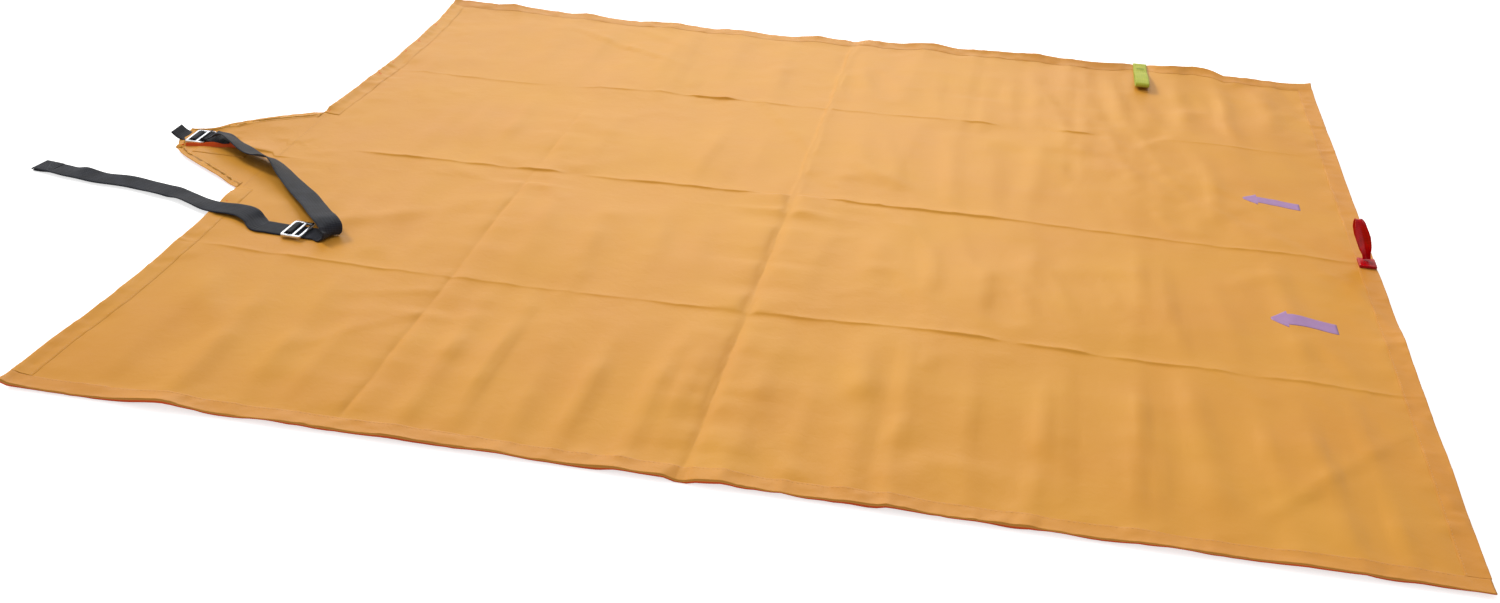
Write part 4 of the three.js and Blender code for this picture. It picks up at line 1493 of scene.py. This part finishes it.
    def build_hems(self, finish: bpy.types.Material, smooth: bpy.types.Material, under: bpy.types.Material) -> None:
        """Turns every hem, along the sheet's four edges and the tab's three.

        Args:
            finish: the finish of the three long hems.
            smooth: the finish of the flatter ones, at the tab's end.
            under: the finish of their lips' undersides, a brighter red-orange painted for the glow of light through
                the cloth in the shade under the edge.
        """
        d = self.drape
        x0, x1, y0, y1 = d.low[0], d.high[0], d.low[1], d.high[1]
        tab_low, tab_high = d.tab_middle - d.tab_base_half, d.tab_middle + d.tab_base_half
        for side, y, way in (("near", y0, 1.0), ("far", y1, -1.0)):
            places = self.edge_line((x0, y), (x1, y))
            loose = 0.65 + 0.5 * d.stray(places[:, 0] / 31, places[:, 0] * 0 + 2.2)
            hang = 0.5 + table(d.near_edge, places[:, 0]) * loose if side == "near" else 0.3
            hem = self.build_hem(f"hem_{side}", places, (0, way), self.hem, hang)
            self.bend(hem, (finish, under), "orange_cloth", f"hem_{side}_tab_half", f"hem_{side}_loop_half")

        inner0, inner1 = y0 + self.hem, y1 - self.hem
        end = self.build_hem("hem_plain_end", self.edge_line((x1, inner0), (x1, inner1)), (-1, 0), self.hem)
        settle(end, (finish, under), "sheet_loop_half", "orange_cloth", "hem_end")
        plans = [
            (f"hem_beside_tab_{side}", self.edge_line((x0, a), (x0, b)), (1, 0), self.hem, f"hem_tab_edge_{side}")
            for side, a, b in (("near", inner0, tab_low), ("far", tab_high, inner1))
        ]
        for side, sign in (("near", -1), ("far", 1)):
            places = self.edge_line((d.tab_tip + self.tab_hem, 0), (x0, 0))
            places[:, 1] = d.tab_middle + sign * d.tab_half_at(places[:, 0])
            width = self.tab_slant(self.tab_hem)
            plans.append((f"tab_side_hem_{side}", places, (0, -sign), width, f"tab_hem_{side}"))
        corners = [(d.tab_tip, d.tab_middle + sign * d.tab_tip_half) for sign in (-1, 1)]
        plans.append(("tab_tip_hem", self.edge_line(*corners), (1, 0), self.tab_hem, "tab_hem_tip"))
        for name, places, inward, width, node in plans:
            hem = self.build_hem(name, places, inward, width)
            settle(hem, (smooth, under), "sheet_tab_half", "orange_cloth", node)

    def build_stitches(self, finish: bpy.types.Material) -> None:
        """Sews every hem.

        Args:
            finish: the thread.
        """
        d = self.drape
        lift = self.hem_rise * 0.95 + 0.02
        a0, a1, b0, b1 = d.low[0] + self.seam, d.high[0] - self.seam, d.low[1] + self.seam, d.high[1] - self.seam
        tab_low, tab_high = d.tab_middle - d.tab_base_half, d.tab_middle + d.tab_base_half
        for side, y in (("near", b0), ("far", b1)):
            seam = sew(f"seam_{side}", self.seam_rows((a0, y), (a1, y), lift))
            nodes = (f"stitching_{side}_tab_half", f"stitching_{side}_loop_half")
            self.bend(seam, (finish,), "orange_thread", *nodes)
        plans = [
            ("seam_plain_end", (a1, b0 + 3), (a1, b1 - 3), "stitching_end"),
            ("seam_beside_tab_near", (a0, b0 + 3), (a0, tab_low), "stitching_tab_edge_near"),
            ("seam_beside_tab_far", (a0, tab_high), (a0, b1 - 3), "stitching_tab_edge_far"),
        ]
        u = np.array([d.tab_tip + self.tab_hem, d.low[0]])
        for side, sign in (("near", -1), ("far", 1)):
            v = d.tab_middle + sign * (d.tab_half_at(u) - self.tab_slant(self.tab_seam))
            plans.append((f"seam_tab_{side}", (u[0], v[0]), (u[1], v[1]), f"stitching_tab_{side}"))
        for name, start, end, node in plans:
            body = "sheet_loop_half" if name == "seam_plain_end" else "sheet_tab_half"
            settle(sew(name, self.seam_rows(start, end, lift)), (finish,), body, "orange_thread", node)
        root = self.seam_rows((a0 - 12, tab_low + 4), (a0 - 12, tab_high - 4), 0.12)
        settle(sew("seam_tab_root", root), (finish,), "sheet_tab_half", "orange_thread")

    def lay_on(self, name: str, u: np.ndarray, v: np.ndarray, lift: float, thick: float) -> bpy.types.Object:
        """Lays a thin piece on the cloth.

        Args:
            name: the piece's name.
            u: (rows, columns) places along.
            v: (rows, columns) places across.
            lift: how far its underside is above the cloth.
            thick: its thickness.

        Returns:
            The piece, closed all round.
        """
        points = self.place(u, v, lift + thick).reshape(-1, 3)
        uv = np.column_stack([u.ravel(), v.ravel()])
        piece = new_piece(name, points, net_faces(*u.shape), uv, outward=False)
        finish_with(piece, "SOLIDIFY", thickness=thick * MM, offset=-1.0, use_quality_normals=True)
        return piece

    def build_patch(self, finish: bpy.types.Material, thread: bpy.types.Material) -> None:
        """Sews the bare patch on the tab.

        Args:
            finish: the patch's cloth.
            thread: its stitches.
        """
        low, high = box_mm("tab_patch")
        u, share = np.meshgrid(np.linspace(low[0], high[0], 40), np.linspace(0, 1, 16))
        v = low[1] + share * (np.minimum(high[1] - 2.5, table(self.drape.pleat_foot, u) - 1.2) - low[1])
        patch = self.lay_on("tab_bare_patch", u, v, 0.1, 0.25)
        settle(patch, (finish,), "sheet_tab_half", "orange_cloth", "tab_patch")
        x0, x1, y0, y1 = low[0] + 1.5, high[0] - 1.5, low[1] + 1.5, high[1] - 8.0
        corners = [(x0, y0), (x1, y0), (x1, y1), (x0, y1), (x0, y0)]
        rows = [row for a, b in zip(corners, corners[1:]) for row in self.seam_rows(a, b, 0.37)]
        settle(sew("tab_patch_seam", rows), (thread,), "sheet_tab_half", "orange_thread")

    def build_arrows(self, finish: bpy.types.Material) -> None:
        """Prints the two arrows that point along the sheet to its tab end.

        Args:
            finish: the ink.
        """
        head = 15.5
        along = np.concatenate([np.linspace(0.2, head, 9), np.linspace(16.0, 62.0, 20)])
        drift = 0.04 * along + 5.0 * smooth_step(30, 64, along)
        for name, tip, middle, shaft in (("arrow_far", 537.0, 143.0, 8.5), ("arrow_near", 539.0, -150.0, 10.5)):
            half = np.where(along < 15.8, 2.0 + (shaft + 4.0) * along / head, shaft)
            share = np.linspace(-1, 1, 13)[:, None]
            u = tip + np.broadcast_to(along, (len(share), len(along)))
            arrow = self.lay_on(name, u, middle - drift + share * half, 0.03, 0.1)
            settle(arrow, (finish,), "sheet_loop_half", "orange_cloth")


# ---------------------------------------------------------------- metal slides


@dataclass
class SlideFrame:
    """A stamped slide: two outer bars, an inner bar, and a grip bar in its wide slot."""

    thick: float = 2.4
    rail: float = 3.2
    bar: float = 2.6
    wide: float = 9.4
    narrow: float = 5.4
    grip: float = 2.4
    corner: float = 3.2
    round_over: float = 0.55
    strap: float = 25.0
    play: float = 1.7

    @property
    def length(self) -> float:
        """Its length along the strap."""
        return 3 * self.bar + self.wide + self.narrow

    @property
    def half(self) -> float:
        """Half its width."""
        return self.strap / 2 + self.play + self.rail

    def block(self, x0: float, x1: float, half: float, height: float, corner: float) -> bpy.types.Object:
        """Adds a block with rounded upright corners, centred in Y and Z.

        Args:
            x0: its first end.
            x1: its last end.
            half: half its width.
            height: its height.
            corner: its corners' radius.

        Returns:
            The block.
        """
        bpy.ops.object.select_all(action="DESELECT")
        bpy.ops.mesh.primitive_cube_add(size=1)
        block = bpy.context.active_object
        bpy.ops.object.mode_set(mode="EDIT")
        bpy.ops.mesh.select_all(action="SELECT")
        bpy.ops.transform.resize(value=((x1 - x0) * MM, 2 * half * MM, height * MM))
        bpy.ops.transform.translate(value=((x0 + x1) / 2 * MM, 0, 0))
        bpy.ops.mesh.select_mode(type="EDGE")
        bpy.ops.mesh.select_all(action="DESELECT")
        shell = bmesh.from_edit_mesh(block.data)
        for edge in shell.edges:
            first, second = (v.co for v in edge.verts)
            edge.select = abs(first.z - second.z) > 0.5 * height * MM
        bmesh.update_edit_mesh(block.data)
        bpy.ops.mesh.bevel(offset=corner * MM, segments=6, affect="EDGES")
        bpy.ops.object.mode_set(mode="OBJECT")
        return block

    def build(self, name: str, turn: float, middle: tuple[float, float, float]) -> bpy.types.Object:
        """Stamps a slide and puts it in place.

        Args:
            name: the piece's name.
            turn: its turn about Z, in degrees.
            middle: its middle, in millimetres.

        Returns:
            The slide.
        """
        plate = self.block(0, self.length, self.half, self.thick, self.corner)
        plate.name = name
        plate.data.name = name
        grip = self.bar + (self.wide - self.grip) / 2
        slots = (
            (self.bar, grip),
            (grip + self.grip, self.bar + self.wide),
            (2 * self.bar + self.wide, 2 * self.bar + self.wide + self.narrow),
        )
        for x0, x1 in slots:
            cutter = self.block(x0, x1, self.half - self.rail, 3 * self.thick, 0.7)
            finish_with(plate, "BOOLEAN", operation="DIFFERENCE", object=cutter, solver="EXACT")
            bpy.data.objects.remove(cutter)
        finish_with(
            plate, "BEVEL", width=self.round_over * MM, segments=3, limit_method="ANGLE",
            angle_limit=math.radians(50),
        )
        only(plate)
        bpy.ops.object.shade_smooth_by_angle(angle=math.radians(40))
        at = Matrix.Translation(Vector(middle) * MM) @ Matrix.Rotation(math.radians(turn), 4, "Z")
        plate.data.transform(at @ Matrix.Translation((-self.length / 2 * MM, 0, 0)))
        plate.data.update()
        return plate


@dataclass
class Hardware:
    """The two slides with the webbing that is threaded in them, and the keeper on the tab."""

    slide: SlideFrame
    strap: Strap
    gap: float = 0.3

    def strip(self, name: str, points: list, origin: np.ndarray, heading: float = 0.0) -> bpy.types.Object:
        """Draws webbing whose middle line lies in an upright plane.

        Args:
            name: the piece's name.
            points: (along, up) places from the origin.
            origin: the origin.
            heading: the way that along points, in degrees.

        Returns:
            The piece.
        """
        turn, flat = math.radians(heading), np.array(points, float)
        way = np.array([math.cos(turn), math.sin(turn), 0.0])
        line = smooth_line(origin + flat[:, :1] * way + flat[:, 1:] * np.array([0, 0, 1.0]), 6)
        section = webbing_section(self.strap.width, self.strap.thick)
        return sweep(name, line, np.array([-way[1], way[0], 0.0]), section)

    def build(
        self, steel: bpy.types.Material, webbing: bpy.types.Material, thread: bpy.types.Material
    ) -> list[bpy.types.Object]:
        """Models both slides, the keeper, the threaded tail and the fold.

        Args:
            steel: the slides' finish.
            webbing: the strap's finish.
            thread: the bar tack's finish.

        Returns:
            The pieces that go with the free strap.
        """
        s, thick, gap = self.slide, self.strap.thick, self.gap
        pivot = pivot_mm("tab_slide_pivot")
        frame_piece = s.build("tab_slide_frame", 0.0, tuple(np.mean(box_mm("tab_slide"), axis=0)))
        settle(frame_piece, (steel,), "tab_slide", "slide_steel", "tab_slide")

        under = -s.thick / 2 - gap - thick / 2
        corner = 0.75 * (thick / 2 + gap)
        corner_z = s.thick / 2 + corner
        grip0 = s.bar + (s.wide - s.grip) / 2
        grip1 = grip0 + s.grip
        inner = s.bar + s.wide
        around_bar = math.hypot(s.bar, s.thick) / 2 + gap + thick / 2
        tail_end = box_mm("strap_tail")[0][0] - pivot[0] + 0.4
        threaded = [
            (inner + s.bar + 1.2, 0), (inner + s.bar + corner, -corner_z), (inner + s.bar / 2, under),
            (inner - corner, -corner_z), ((grip1 + inner) / 2, 0), (grip1 + corner, corner_z),
            ((grip0 + grip1) / 2, -under), (grip0 - corner, corner_z), ((s.bar + grip0) / 2, 0),
            (s.bar + corner, -corner_z), (s.bar / 2, under), (-6, under + 1.5),
        ]
        threaded = [(x - (s.length - s.bar / 2), z) for x, z in threaded]
        lifted = [((threaded[-1][0] + tail_end) / 2, under + 4.2), (tail_end, under + 9.4)]
        tail = [(-1, around_bar + thick + gap), (-3.2, 2.9), *threaded, *lifted]
        tail_piece = self.strip("strap_threaded_tail", tail, pivot)
        settle(tail_piece, (webbing,), "tab_slide", "dark_webbing", "strap_tail")

        floor = box_mm("slide_keeper")[0][2] - pivot[2] + thick / 2
        turn = [(around_bar * math.cos(a), around_bar * math.sin(a)) for a in np.radians(range(-110, -331, -22))]
        below = [(29, floor), (20, floor), (11, floor), (5, floor - 0.1)]
        above = [(6.5, floor + 3.1), (11, floor + thick + 0.12), (20, floor + thick), (29, floor + thick)]
        keeper = self.strip("slide_keeper_webbing", [*below, *turn, *above], pivot)
        settle(keeper, (webbing,), "sheet_tab_half", "dark_webbing", "slide_keeper")
        low, high = box_mm("keeper_bar_tack")
        tack = sew("keeper_tack_stitches", tack_rows(low, high, low[2] + 0.05, lengthwise=False))
        settle(tack, (thread,), "sheet_tab_half", "dark_webbing", "keeper_bar_tack")

        middle = np.mean(box_mm("loose_slide"), axis=0)
        heading = self.strap.straight_heading - 180
        loose = s.build("loose_slide_frame", heading, tuple(middle))
        settle(loose, (steel,), "loose_slide", "slide_steel", "loose_slide")
        side = s.grip / 2 + gap + thick / 2
        foot = -s.thick / 2 + thick / 2
        bend = s.grip / 2 + corner
        hump = [
            (-side - 0.9, foot), (-side, 0), (-bend, corner_z), (0, -under + 0.15), (bend, corner_z),
            (side, 0), (side + 0.9, foot),
        ]
        way = np.array([math.cos(math.radians(heading)), math.sin(math.radians(heading)), 0.0])
        origin = middle + way * ((grip0 + grip1) / 2 - s.length / 2)
        fold = self.strip("strap_grip_fold", hump, origin, heading)
        settle(fold, (webbing,), "loose_slide", "dark_webbing", "strap_fold")
        return [tail_piece, loose, fold]


def tack_rows(low: np.ndarray, high: np.ndarray, z: float, lengthwise: bool) -> list:
    """Packs a bar tack's zigzag stitches into a box.

    Args:
        low: the box's lowest corner, in millimetres.
        high: its highest corner.
        z: the height that they lie at.
        lengthwise: whether the rows run along Y rather than X.

    Returns:
        (middle, direction) pairs.
    """
    across, along = (0, 1) if lengthwise else (1, 0)
    lines = np.linspace(low[across] + 0.6, high[across] - 0.6, max(int((high[across] - low[across]) / 2.2), 3))
    marks = np.linspace(low[along] + 0.4, high[along] - 0.4, 5)
    rows = []
    for number in range(len(lines) - 1):
        for k in range(len(marks) - 1):
            ends = np.full((2, 3), float(z))
            ends[:, across] = lines[[number, number + 1] if (number + k) % 2 else [number + 1, number]]
            ends[:, along] = marks[k : k + 2]
            rows.append((ends.mean(axis=0), unit(ends[1] - ends[0])))
    return rows


# ---------------------------------------------------------------- webbing loops


@dataclass
class WebbingLoop:
    """A loop of webbing whose two ends are sewn down, one on the other, under a bar tack."""

    width: float = 18.0
    thick: float = 1.2

    def fasten(
        self, colour: str, path: list, tack_lift: float, lengthwise: bool,
        webbing: bpy.types.Material, thread: bpy.types.Material,
    ) -> None:
        """Lays the two ends along a path and sews the bar tack over them.

        Args:
            colour: the loop's colour, as its nodes are named.
            path: the lower end's places, in millimetres.
            tack_lift: how far over the sewn ends' box the tack lies.
            lengthwise: whether the tack's rows run along Y rather than X.
            webbing: the loop's finish.
            thread: the tack's finish.
        """
        slot, section = f"{colour}_webbing", webbing_section(self.width, self.thick)
        for number, offset in ((1, 0.0), (2, self.thick + 0.05)):
            line = smooth_line(np.array(path) + [0, 0, offset], 5)
            end = sweep(f"{colour}_loop_end_{number}", line, np.array([1.0, 0.0, 0.0]), section)
            settle(end, (webbing,), "sheet_loop_half", slot, f"{colour}_loop_sewn_end")
        low, high = box_mm(f"{colour}_loop_bar_tack")
        z = box_mm(f"{colour}_loop_sewn_end")[1][2] + tack_lift
        tack = sew(f"{colour}_loop_tack", tack_rows(low, high, z, lengthwise))
        settle(tack, (thread,), "sheet_loop_half", slot, f"{colour}_loop_bar_tack")


@dataclass
class GreenLoop(WebbingLoop):
    """The flat green loop on the far hem, which folds in over the sheet."""

    def build(self, cloth: Cloth, webbing: bpy.types.Material, thread: bpy.types.Material) -> None:
        """Models the loop, its sewn end and its bar tack.

        Args:
            cloth: the cloth that it is sewn to.
            webbing: the loop's finish.
            thread: the tack's finish.
        """
        low, high = box_mm("green_loop")
        sewn_low = box_mm("green_loop_sewn_end")[0]
        x, hinge, reach = (low[0] + high[0]) / 2, sewn_low[1], high[1] - low[1]
        base = sewn_low[2] + self.thick / 2
        back_and_up = [
            (0.3, 0), (14, 0.1), (0.6 * reach, 0.9), (0.86 * reach, 2.4), (reach - 1.4, 4.2), (reach - 0.6, 6.2),
            (reach - 2.4, 8.1), (0.86 * reach, 8.6), (0.6 * reach, 7.6), (0.3 * reach, 4.6), (10, 2.2),
            (0.3, self.thick - 0.02),
        ]
        line = smooth_line([(x, hinge - back, base + up) for back, up in back_and_up], 6)
        free = sweep("green_loop_webbing", line, np.array([1.0, 0.0, 0.0]), webbing_section(self.width, self.thick))
        settle(free, (webbing,), "green_loop", "green_webbing", "green_loop")

        edge = cloth.place(np.array([x]), np.array([cloth.drape.high[1]]))[0]
        rise = max(edge[2] + cloth.hem_rise + 0.5 + self.thick / 2, base)
        path = [
            (x, hinge - 0.3, base), (x, hinge + 5, base + 0.05), (x, hinge + 10, base + 0.4 * (rise - base)),
            (x, edge[1] + 0.6, rise),
        ]
        self.fasten("green", path, 0.35, True, webbing, thread)


@dataclass
class RedLoop(WebbingLoop):
    """The red loop on the plain end: it stands up, pinched at its foot and creased down its middle."""

    half: float = 6.2
    crease: float = 4.6
    foot_width: float = 8.0

    def build(self, webbing: bpy.types.Material, thread: bpy.types.Material) -> None:
        """Models the loop, its sewn end and its bar tack.

        Args:
            webbing: the loop's finish.
            thread: the tack's finish.
        """
        low, high = box_mm("red_loop")
        pivot, half = pivot_mm("red_loop_swing"), self.half
        top = high[2] - pivot[2] - self.thick / 2
        lean = (high[0] + low[0]) / 2 - pivot[0]
        rising = [
            (0.7, -0.2), (1.0, 0.10 * top), (2.6, 0.24 * top), (half - 0.5, 0.45 * top), (half, 0.68 * top),
            (0.82 * half, 0.88 * top), (0.35 * half, 0.99 * top),
        ]
        outline = [(0, -y, z) for y, z in rising] + [(0, y, z) for y, z in rising[::-1]]
        flat = smooth_line(outline, 6)
        share = np.clip(flat[:, 2] / top, 0, 1)
        line = np.column_stack([pivot[0] + 2.35 * lean * share**1.2, pivot[1] + flat[:, 1], pivot[2] + flat[:, 2]])
        widths = [self.foot_width / self.width, 0.46, 0.7, 0.82, 0.74, 0.52, 0.3]
        full = np.interp(share, [0, 0.12, 0.35, 0.6, 0.8, 0.93, 1], widths)
        ridge = self.crease * np.interp(share, [0, 0.1, 0.24, 0.5, 0.9, 1], [0.05, 0.3, 0.65, 1.0, 0.6, 0.15])
        sections = np.repeat(webbing_section(self.width, self.thick, 14)[None], len(line), axis=0)
        across = 2 * sections[..., 0] / self.width
        sections[..., 0] *= full[:, None]
        sections[..., 1] += ridge[:, None] * (0.5 - np.sqrt(across**2 + 0.02))
        free = sweep("red_loop_webbing", line, np.array([1.0, 0.0, 0.0]), sections)
        settle(free, (webbing,), "red_loop", "red_webbing", "red_loop")

        low, high = box_mm("red_loop_sewn_end")
        x, z = (low[0] + high[0]) / 2, low[2] + self.thick / 2
        y0, y1 = low[1] + 0.3, high[1] - 0.3
        path = [(x, y0, z - 0.1), (x, y0 + 5, z), (x, (y0 + y1) / 2, z + 0.15), (x, y1 - 5, z), (x, y1, z - 0.1)]
        self.fasten("red", path, 0.3, False, webbing, thread)


# ---------------------------------------------------------------- studio


@dataclass
class Studio:
    """The camera, a white floor, a pale sky and a large soft lamp behind the far left corner."""

    camera_mm: tuple[float, float, float] = (261.6, -1587.8, 717.8)
    azimuth: float = -9.269
    down: float = 27.792
    roll: float = 2.7213
    lens: float = 38.329
    sky: float = 0.42
    sun: float = 2.12
    sun_from: tuple[float, float, float] = (-0.8, 0.6, 0.64)
    sun_spread: float = 12.0
    gleam: float = 36.0
    gleam_place: tuple[float, float, float] = (-0.55, 4.2, 1.95)
    gleam_size: tuple[float, float] = (2.4, 1.0)
    card: float = 5.0
    card_place: tuple[float, float, float] = (-1.66, 2.4, 1.22)
    overhead: float = 4.4
    overhead_place: tuple[float, float, float] = (0.1, 0.15, 1.5)
    floor_size: float = 14.0

    def build_camera(self) -> None:
        """Sets up the camera."""
        data = bpy.data.cameras.new("studio_camera")
        data.sensor_fit, data.sensor_width, data.lens = "HORIZONTAL", 36.0, self.lens
        data.clip_start, data.clip_end = 0.01, 100.0
        camera = bpy.data.objects.new("studio_camera", data)
        bpy.context.scene.collection.objects.link(camera)
        turn, down, roll = (math.radians(a) for a in (self.azimuth, self.down, self.roll))
        ahead = Vector((math.sin(turn) * math.cos(down), math.cos(turn) * math.cos(down), -math.sin(down)))
        level = ahead.cross(Vector((0, 0, 1))).normalized()
        above = level.cross(ahead)
        right = level * math.cos(roll) + above * math.sin(roll)
        up = above * math.cos(roll) - level * math.sin(roll)
        pose = Matrix((right, up, -ahead)).transposed().to_4x4()
        pose.translation = Vector(self.camera_mm) * MM
        camera.matrix_world = pose
        bpy.context.scene.camera = camera

    def seen_white(self, tree: bpy.types.NodeTree) -> bpy.types.NodeSocket:
        """Picks out the rays from the camera, through glass and off a gloss.

        Args:
            tree: the tree that takes the nodes.

        Returns:
            A socket that is 1 for those rays, and 0 for the rest.
        """
        path = add_node(tree, "ShaderNodeLightPath")
        seen = path.outputs["Is Camera Ray"]
        for ray in ("Is Glossy Ray", "Is Transmission Ray"):
            either = {0: seen, 1: path.outputs[ray]}
            seen = add_node(tree, "ShaderNodeMath", {"operation": "MAXIMUM"}, None, either).outputs[0]
        return seen

    def build_set(self) -> None:
        """Lays the floor and lights the set."""
        scene = bpy.context.scene
        scene.view_settings.view_transform = "Standard"
        world = bpy.data.worlds.new("pale_sky")
        world.use_nodes = True
        tree = world.node_tree
        tree.nodes.clear()
        soft, white = (
            add_node(tree, "ShaderNodeBackground", None, {"Color": (1, 1, 1, 1), "Strength": strength}).outputs[0]
            for strength in (self.sky, 1.0)
        )
        mixed = add_node(tree, "ShaderNodeMixShader", None, None, {0: self.seen_white(tree), 1: soft, 2: white})
        add_node(tree, "ShaderNodeOutputWorld", None, None, {0: mixed.outputs[0]})
        scene.world = world

        half = self.floor_size / 2 / MM
        corners = [(-half, -half, -0.3), (half, -half, -0.3), (half, half, -0.3), (-half, half, -0.3)]
        floor = new_piece("studio_floor", np.array(corners, float), [[0, 1, 2, 3]], outward=False)
        paint = bpy.data.materials.new("matt_white_floor")
        paint.use_nodes = True
        tree = paint.node_tree
        tree.nodes.clear()
        matt = add_node(tree, "ShaderNodeBsdfDiffuse", None, {"Color": (0.86, 0.86, 0.86, 1)})
        lift = add_node(tree, "ShaderNodeMath", {"operation": "MULTIPLY"}, {1: 0.69}, {0: self.seen_white(tree)})
        glow = add_node(tree, "ShaderNodeEmission", None, {"Color": (1, 1, 1, 1)}, {"Strength": lift.outputs[0]})
        both = add_node(tree, "ShaderNodeAddShader", None, None, {0: matt.outputs[0], 1: glow.outputs[0]})
        add_node(tree, "ShaderNodeOutputMaterial", None, None, {0: both.outputs[0]})
        dress(floor, paint)

        self.hang(
            "soft_key", "SUN", self.sun_from, (0, 0, 0), False,
            energy=self.sun, angle=math.radians(self.sun_spread),
        )
        self.hang(
            "overhead_fill", "AREA", self.overhead_place, (*self.overhead_place[:2], 0), False,
            shape="DISK", size=0.8, energy=self.overhead,
        )
        self.hang(
            "low_back_panel", "AREA", self.gleam_place, (0.1, 0, 0), True,
            shape="RECTANGLE", size=self.gleam_size[0], size_y=self.gleam_size[1],
            energy=self.gleam, color=(1.0, 0.95, 0.72),
        )
        self.hang(
            "slide_card", "AREA", self.card_place, (-0.5, -0.1, 0), True,
            shape="DISK", size=1.1, energy=self.card,
        )

    def hang(self, name: str, kind: str, place: tuple, target: tuple, glossy: bool, **settings: object) -> None:
        """Hangs a light so that it points at a place.

        Args:
            name: the light's name.
            kind: the light's type.
            place: where it hangs, in metres.
            target: what it points at.
            glossy: whether mirrors and glosses show it.
            settings: the light's attributes.
        """
        light = bpy.data.lights.new(name, kind)
        for key, value in settings.items():
            setattr(light, key, value)
        lamp = bpy.data.objects.new(name, light)
        lamp.location = place
        lamp.rotation_mode = "QUATERNION"
        lamp.rotation_quaternion = (Vector(place) - Vector(target)).to_track_quat("Z", "Y")
        lamp.visible_glossy, lamp.visible_camera = glossy, False
        bpy.context.scene.collection.objects.link(lamp)


# ---------------------------------------------------------------- the whole sheet


def hardware_covers() -> np.ndarray:
    """Lists points under the slides, the keeper and the loops.

    Returns:
        Rows of x, y, z, reach and slope.
    """
    out = []
    for node, gap, margin in (
        ("tab_slide", 0.5, 0.0), ("loose_slide", 0.6, 0.0), ("slide_keeper", 0.2, 0.0),
        ("green_loop", 0.6, 2.0), ("green_loop_sewn_end", 0.75, 2.0), ("red_loop_sewn_end", 0.75, 2.0),
    ):
        low, high = box_mm(node)
        xs = np.arange(low[0] - margin + 2, high[0] + margin, 4.0)
        ys = np.arange(low[1] - margin + 2, high[1] + margin, 4.0)
        out += [(x, y, low[2] - gap, 3.0, 2.0) for x in xs for y in ys]
    return np.array(out)


def build_cloth_plan(strap: Strap) -> Cloth:
    """Takes the cloth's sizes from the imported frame.

    Args:
        strap: the strap that lies on it.

    Returns:
        The cloth, with its nets laid.
    """
    near, far = box_mm("hem_near_tab_half"), box_mm("hem_far_loop_half")
    tip = box_mm("tab_hem_tip")
    gap_low = box_mm("hem_tab_edge_near")[1][1]
    gap_high = box_mm("hem_tab_edge_far")[0][1]
    green, red = box_mm("green_loop"), box_mm("red_loop_sewn_end")
    middle = (gap_low + gap_high) / 2
    drape = Drape(
        covers=np.vstack([strap.covers(), hardware_covers()]),
        low=near[0][:2],
        high=far[1][:2],
        tab_tip=tip[0][0],
        tab_tip_half=34.0,
        tab_base_half=(gap_high - gap_low) / 2 - 0.3,
        tab_middle=middle,
        green_x=(green[0][0] + green[1][0]) / 2,
        red_y=(red[0][1] + red[1][1]) / 2,
    )
    cloth = Cloth(drape)
    cloth.fit()
    return cloth


def main() -> None:
    """Builds the camera, the strap, the hardware, the cloth, the loops and the set, in that order."""
    logging.basicConfig(level=logging.INFO, format="%(message)s")
    studio = Studio()
    studio.build_camera()

    dark_webbing = WovenWebbing("slate_webbing", "0F1017", "262933", 25.0).make()
    black_thread = SewingThread("dark_thread", "2A2F38", "15181E").make()
    steel = PlatedSteel().make()
    cloth_top = CoatedNylon("orange_coated_nylon", "D7983A", "D39034").make()
    # the cloth's back: a deeper, darker orange, partly the bare cloth's own tone and partly painted shade, since the
    # back is only seen in shade
    cloth_under = CoatedNylon("orange_nylon_back", "CC7A30", "C26E2A", roughness=0.6).make()
    # a brighter red-orange, painted for the glow of light through the cloth where it lies in shade: on the pleat's
    # wall and under the hems' lips
    cloth_painted_glow = CoatedNylon("orange_nylon_painted_glow", "E85C1C", "D24E16", roughness=0.6).make()
    cloth_hem = CoatedNylon("orange_nylon_hem", "D4923C", "CE8A36", crease_mm=6.0).make()
    orange_thread = SewingThread("orange_thread", "D6994A", "C6883A").make()
    green = WovenWebbing("green_webbing", "9BA72E", "BDBE46", 18.0, roughness=0.6).make()
    green_thread = SewingThread("green_thread", "9CC04A", "7C9C33").make()
    red = WovenWebbing("red_satin_webbing", "9A0008", "D20010", 18.0, roughness=0.35, sheen=0.0, bump=0.2).make()
    red_thread = SewingThread("red_thread", "B02030", "7C0A14").make()
    ink = ScreenPrint("purple_print", "A57DB0", "9972A0").make()

    strap = Strap()
    run, turned, end_stitches = strap.build(dark_webbing, black_thread)
    hardware = Hardware(SlideFrame(), strap)
    on_strap = hardware.build(steel, dark_webbing, black_thread)
    strap.declare()

    cloth = build_cloth_plan(strap)
    sheet = cloth.build_cloth(cloth_top, cloth_under, cloth_painted_glow)
    cloth.build_hems(cloth_hem, cloth_top, cloth_painted_glow)
    cloth.build_stitches(orange_thread)
    cloth.build_patch(cloth_top, orange_thread)
    cloth.build_arrows(ink)

    GreenLoop().build(cloth, green, green_thread)
    RedLoop().build(red, red_thread)
    studio.build_set()


if __name__ == "__main__":
    main()
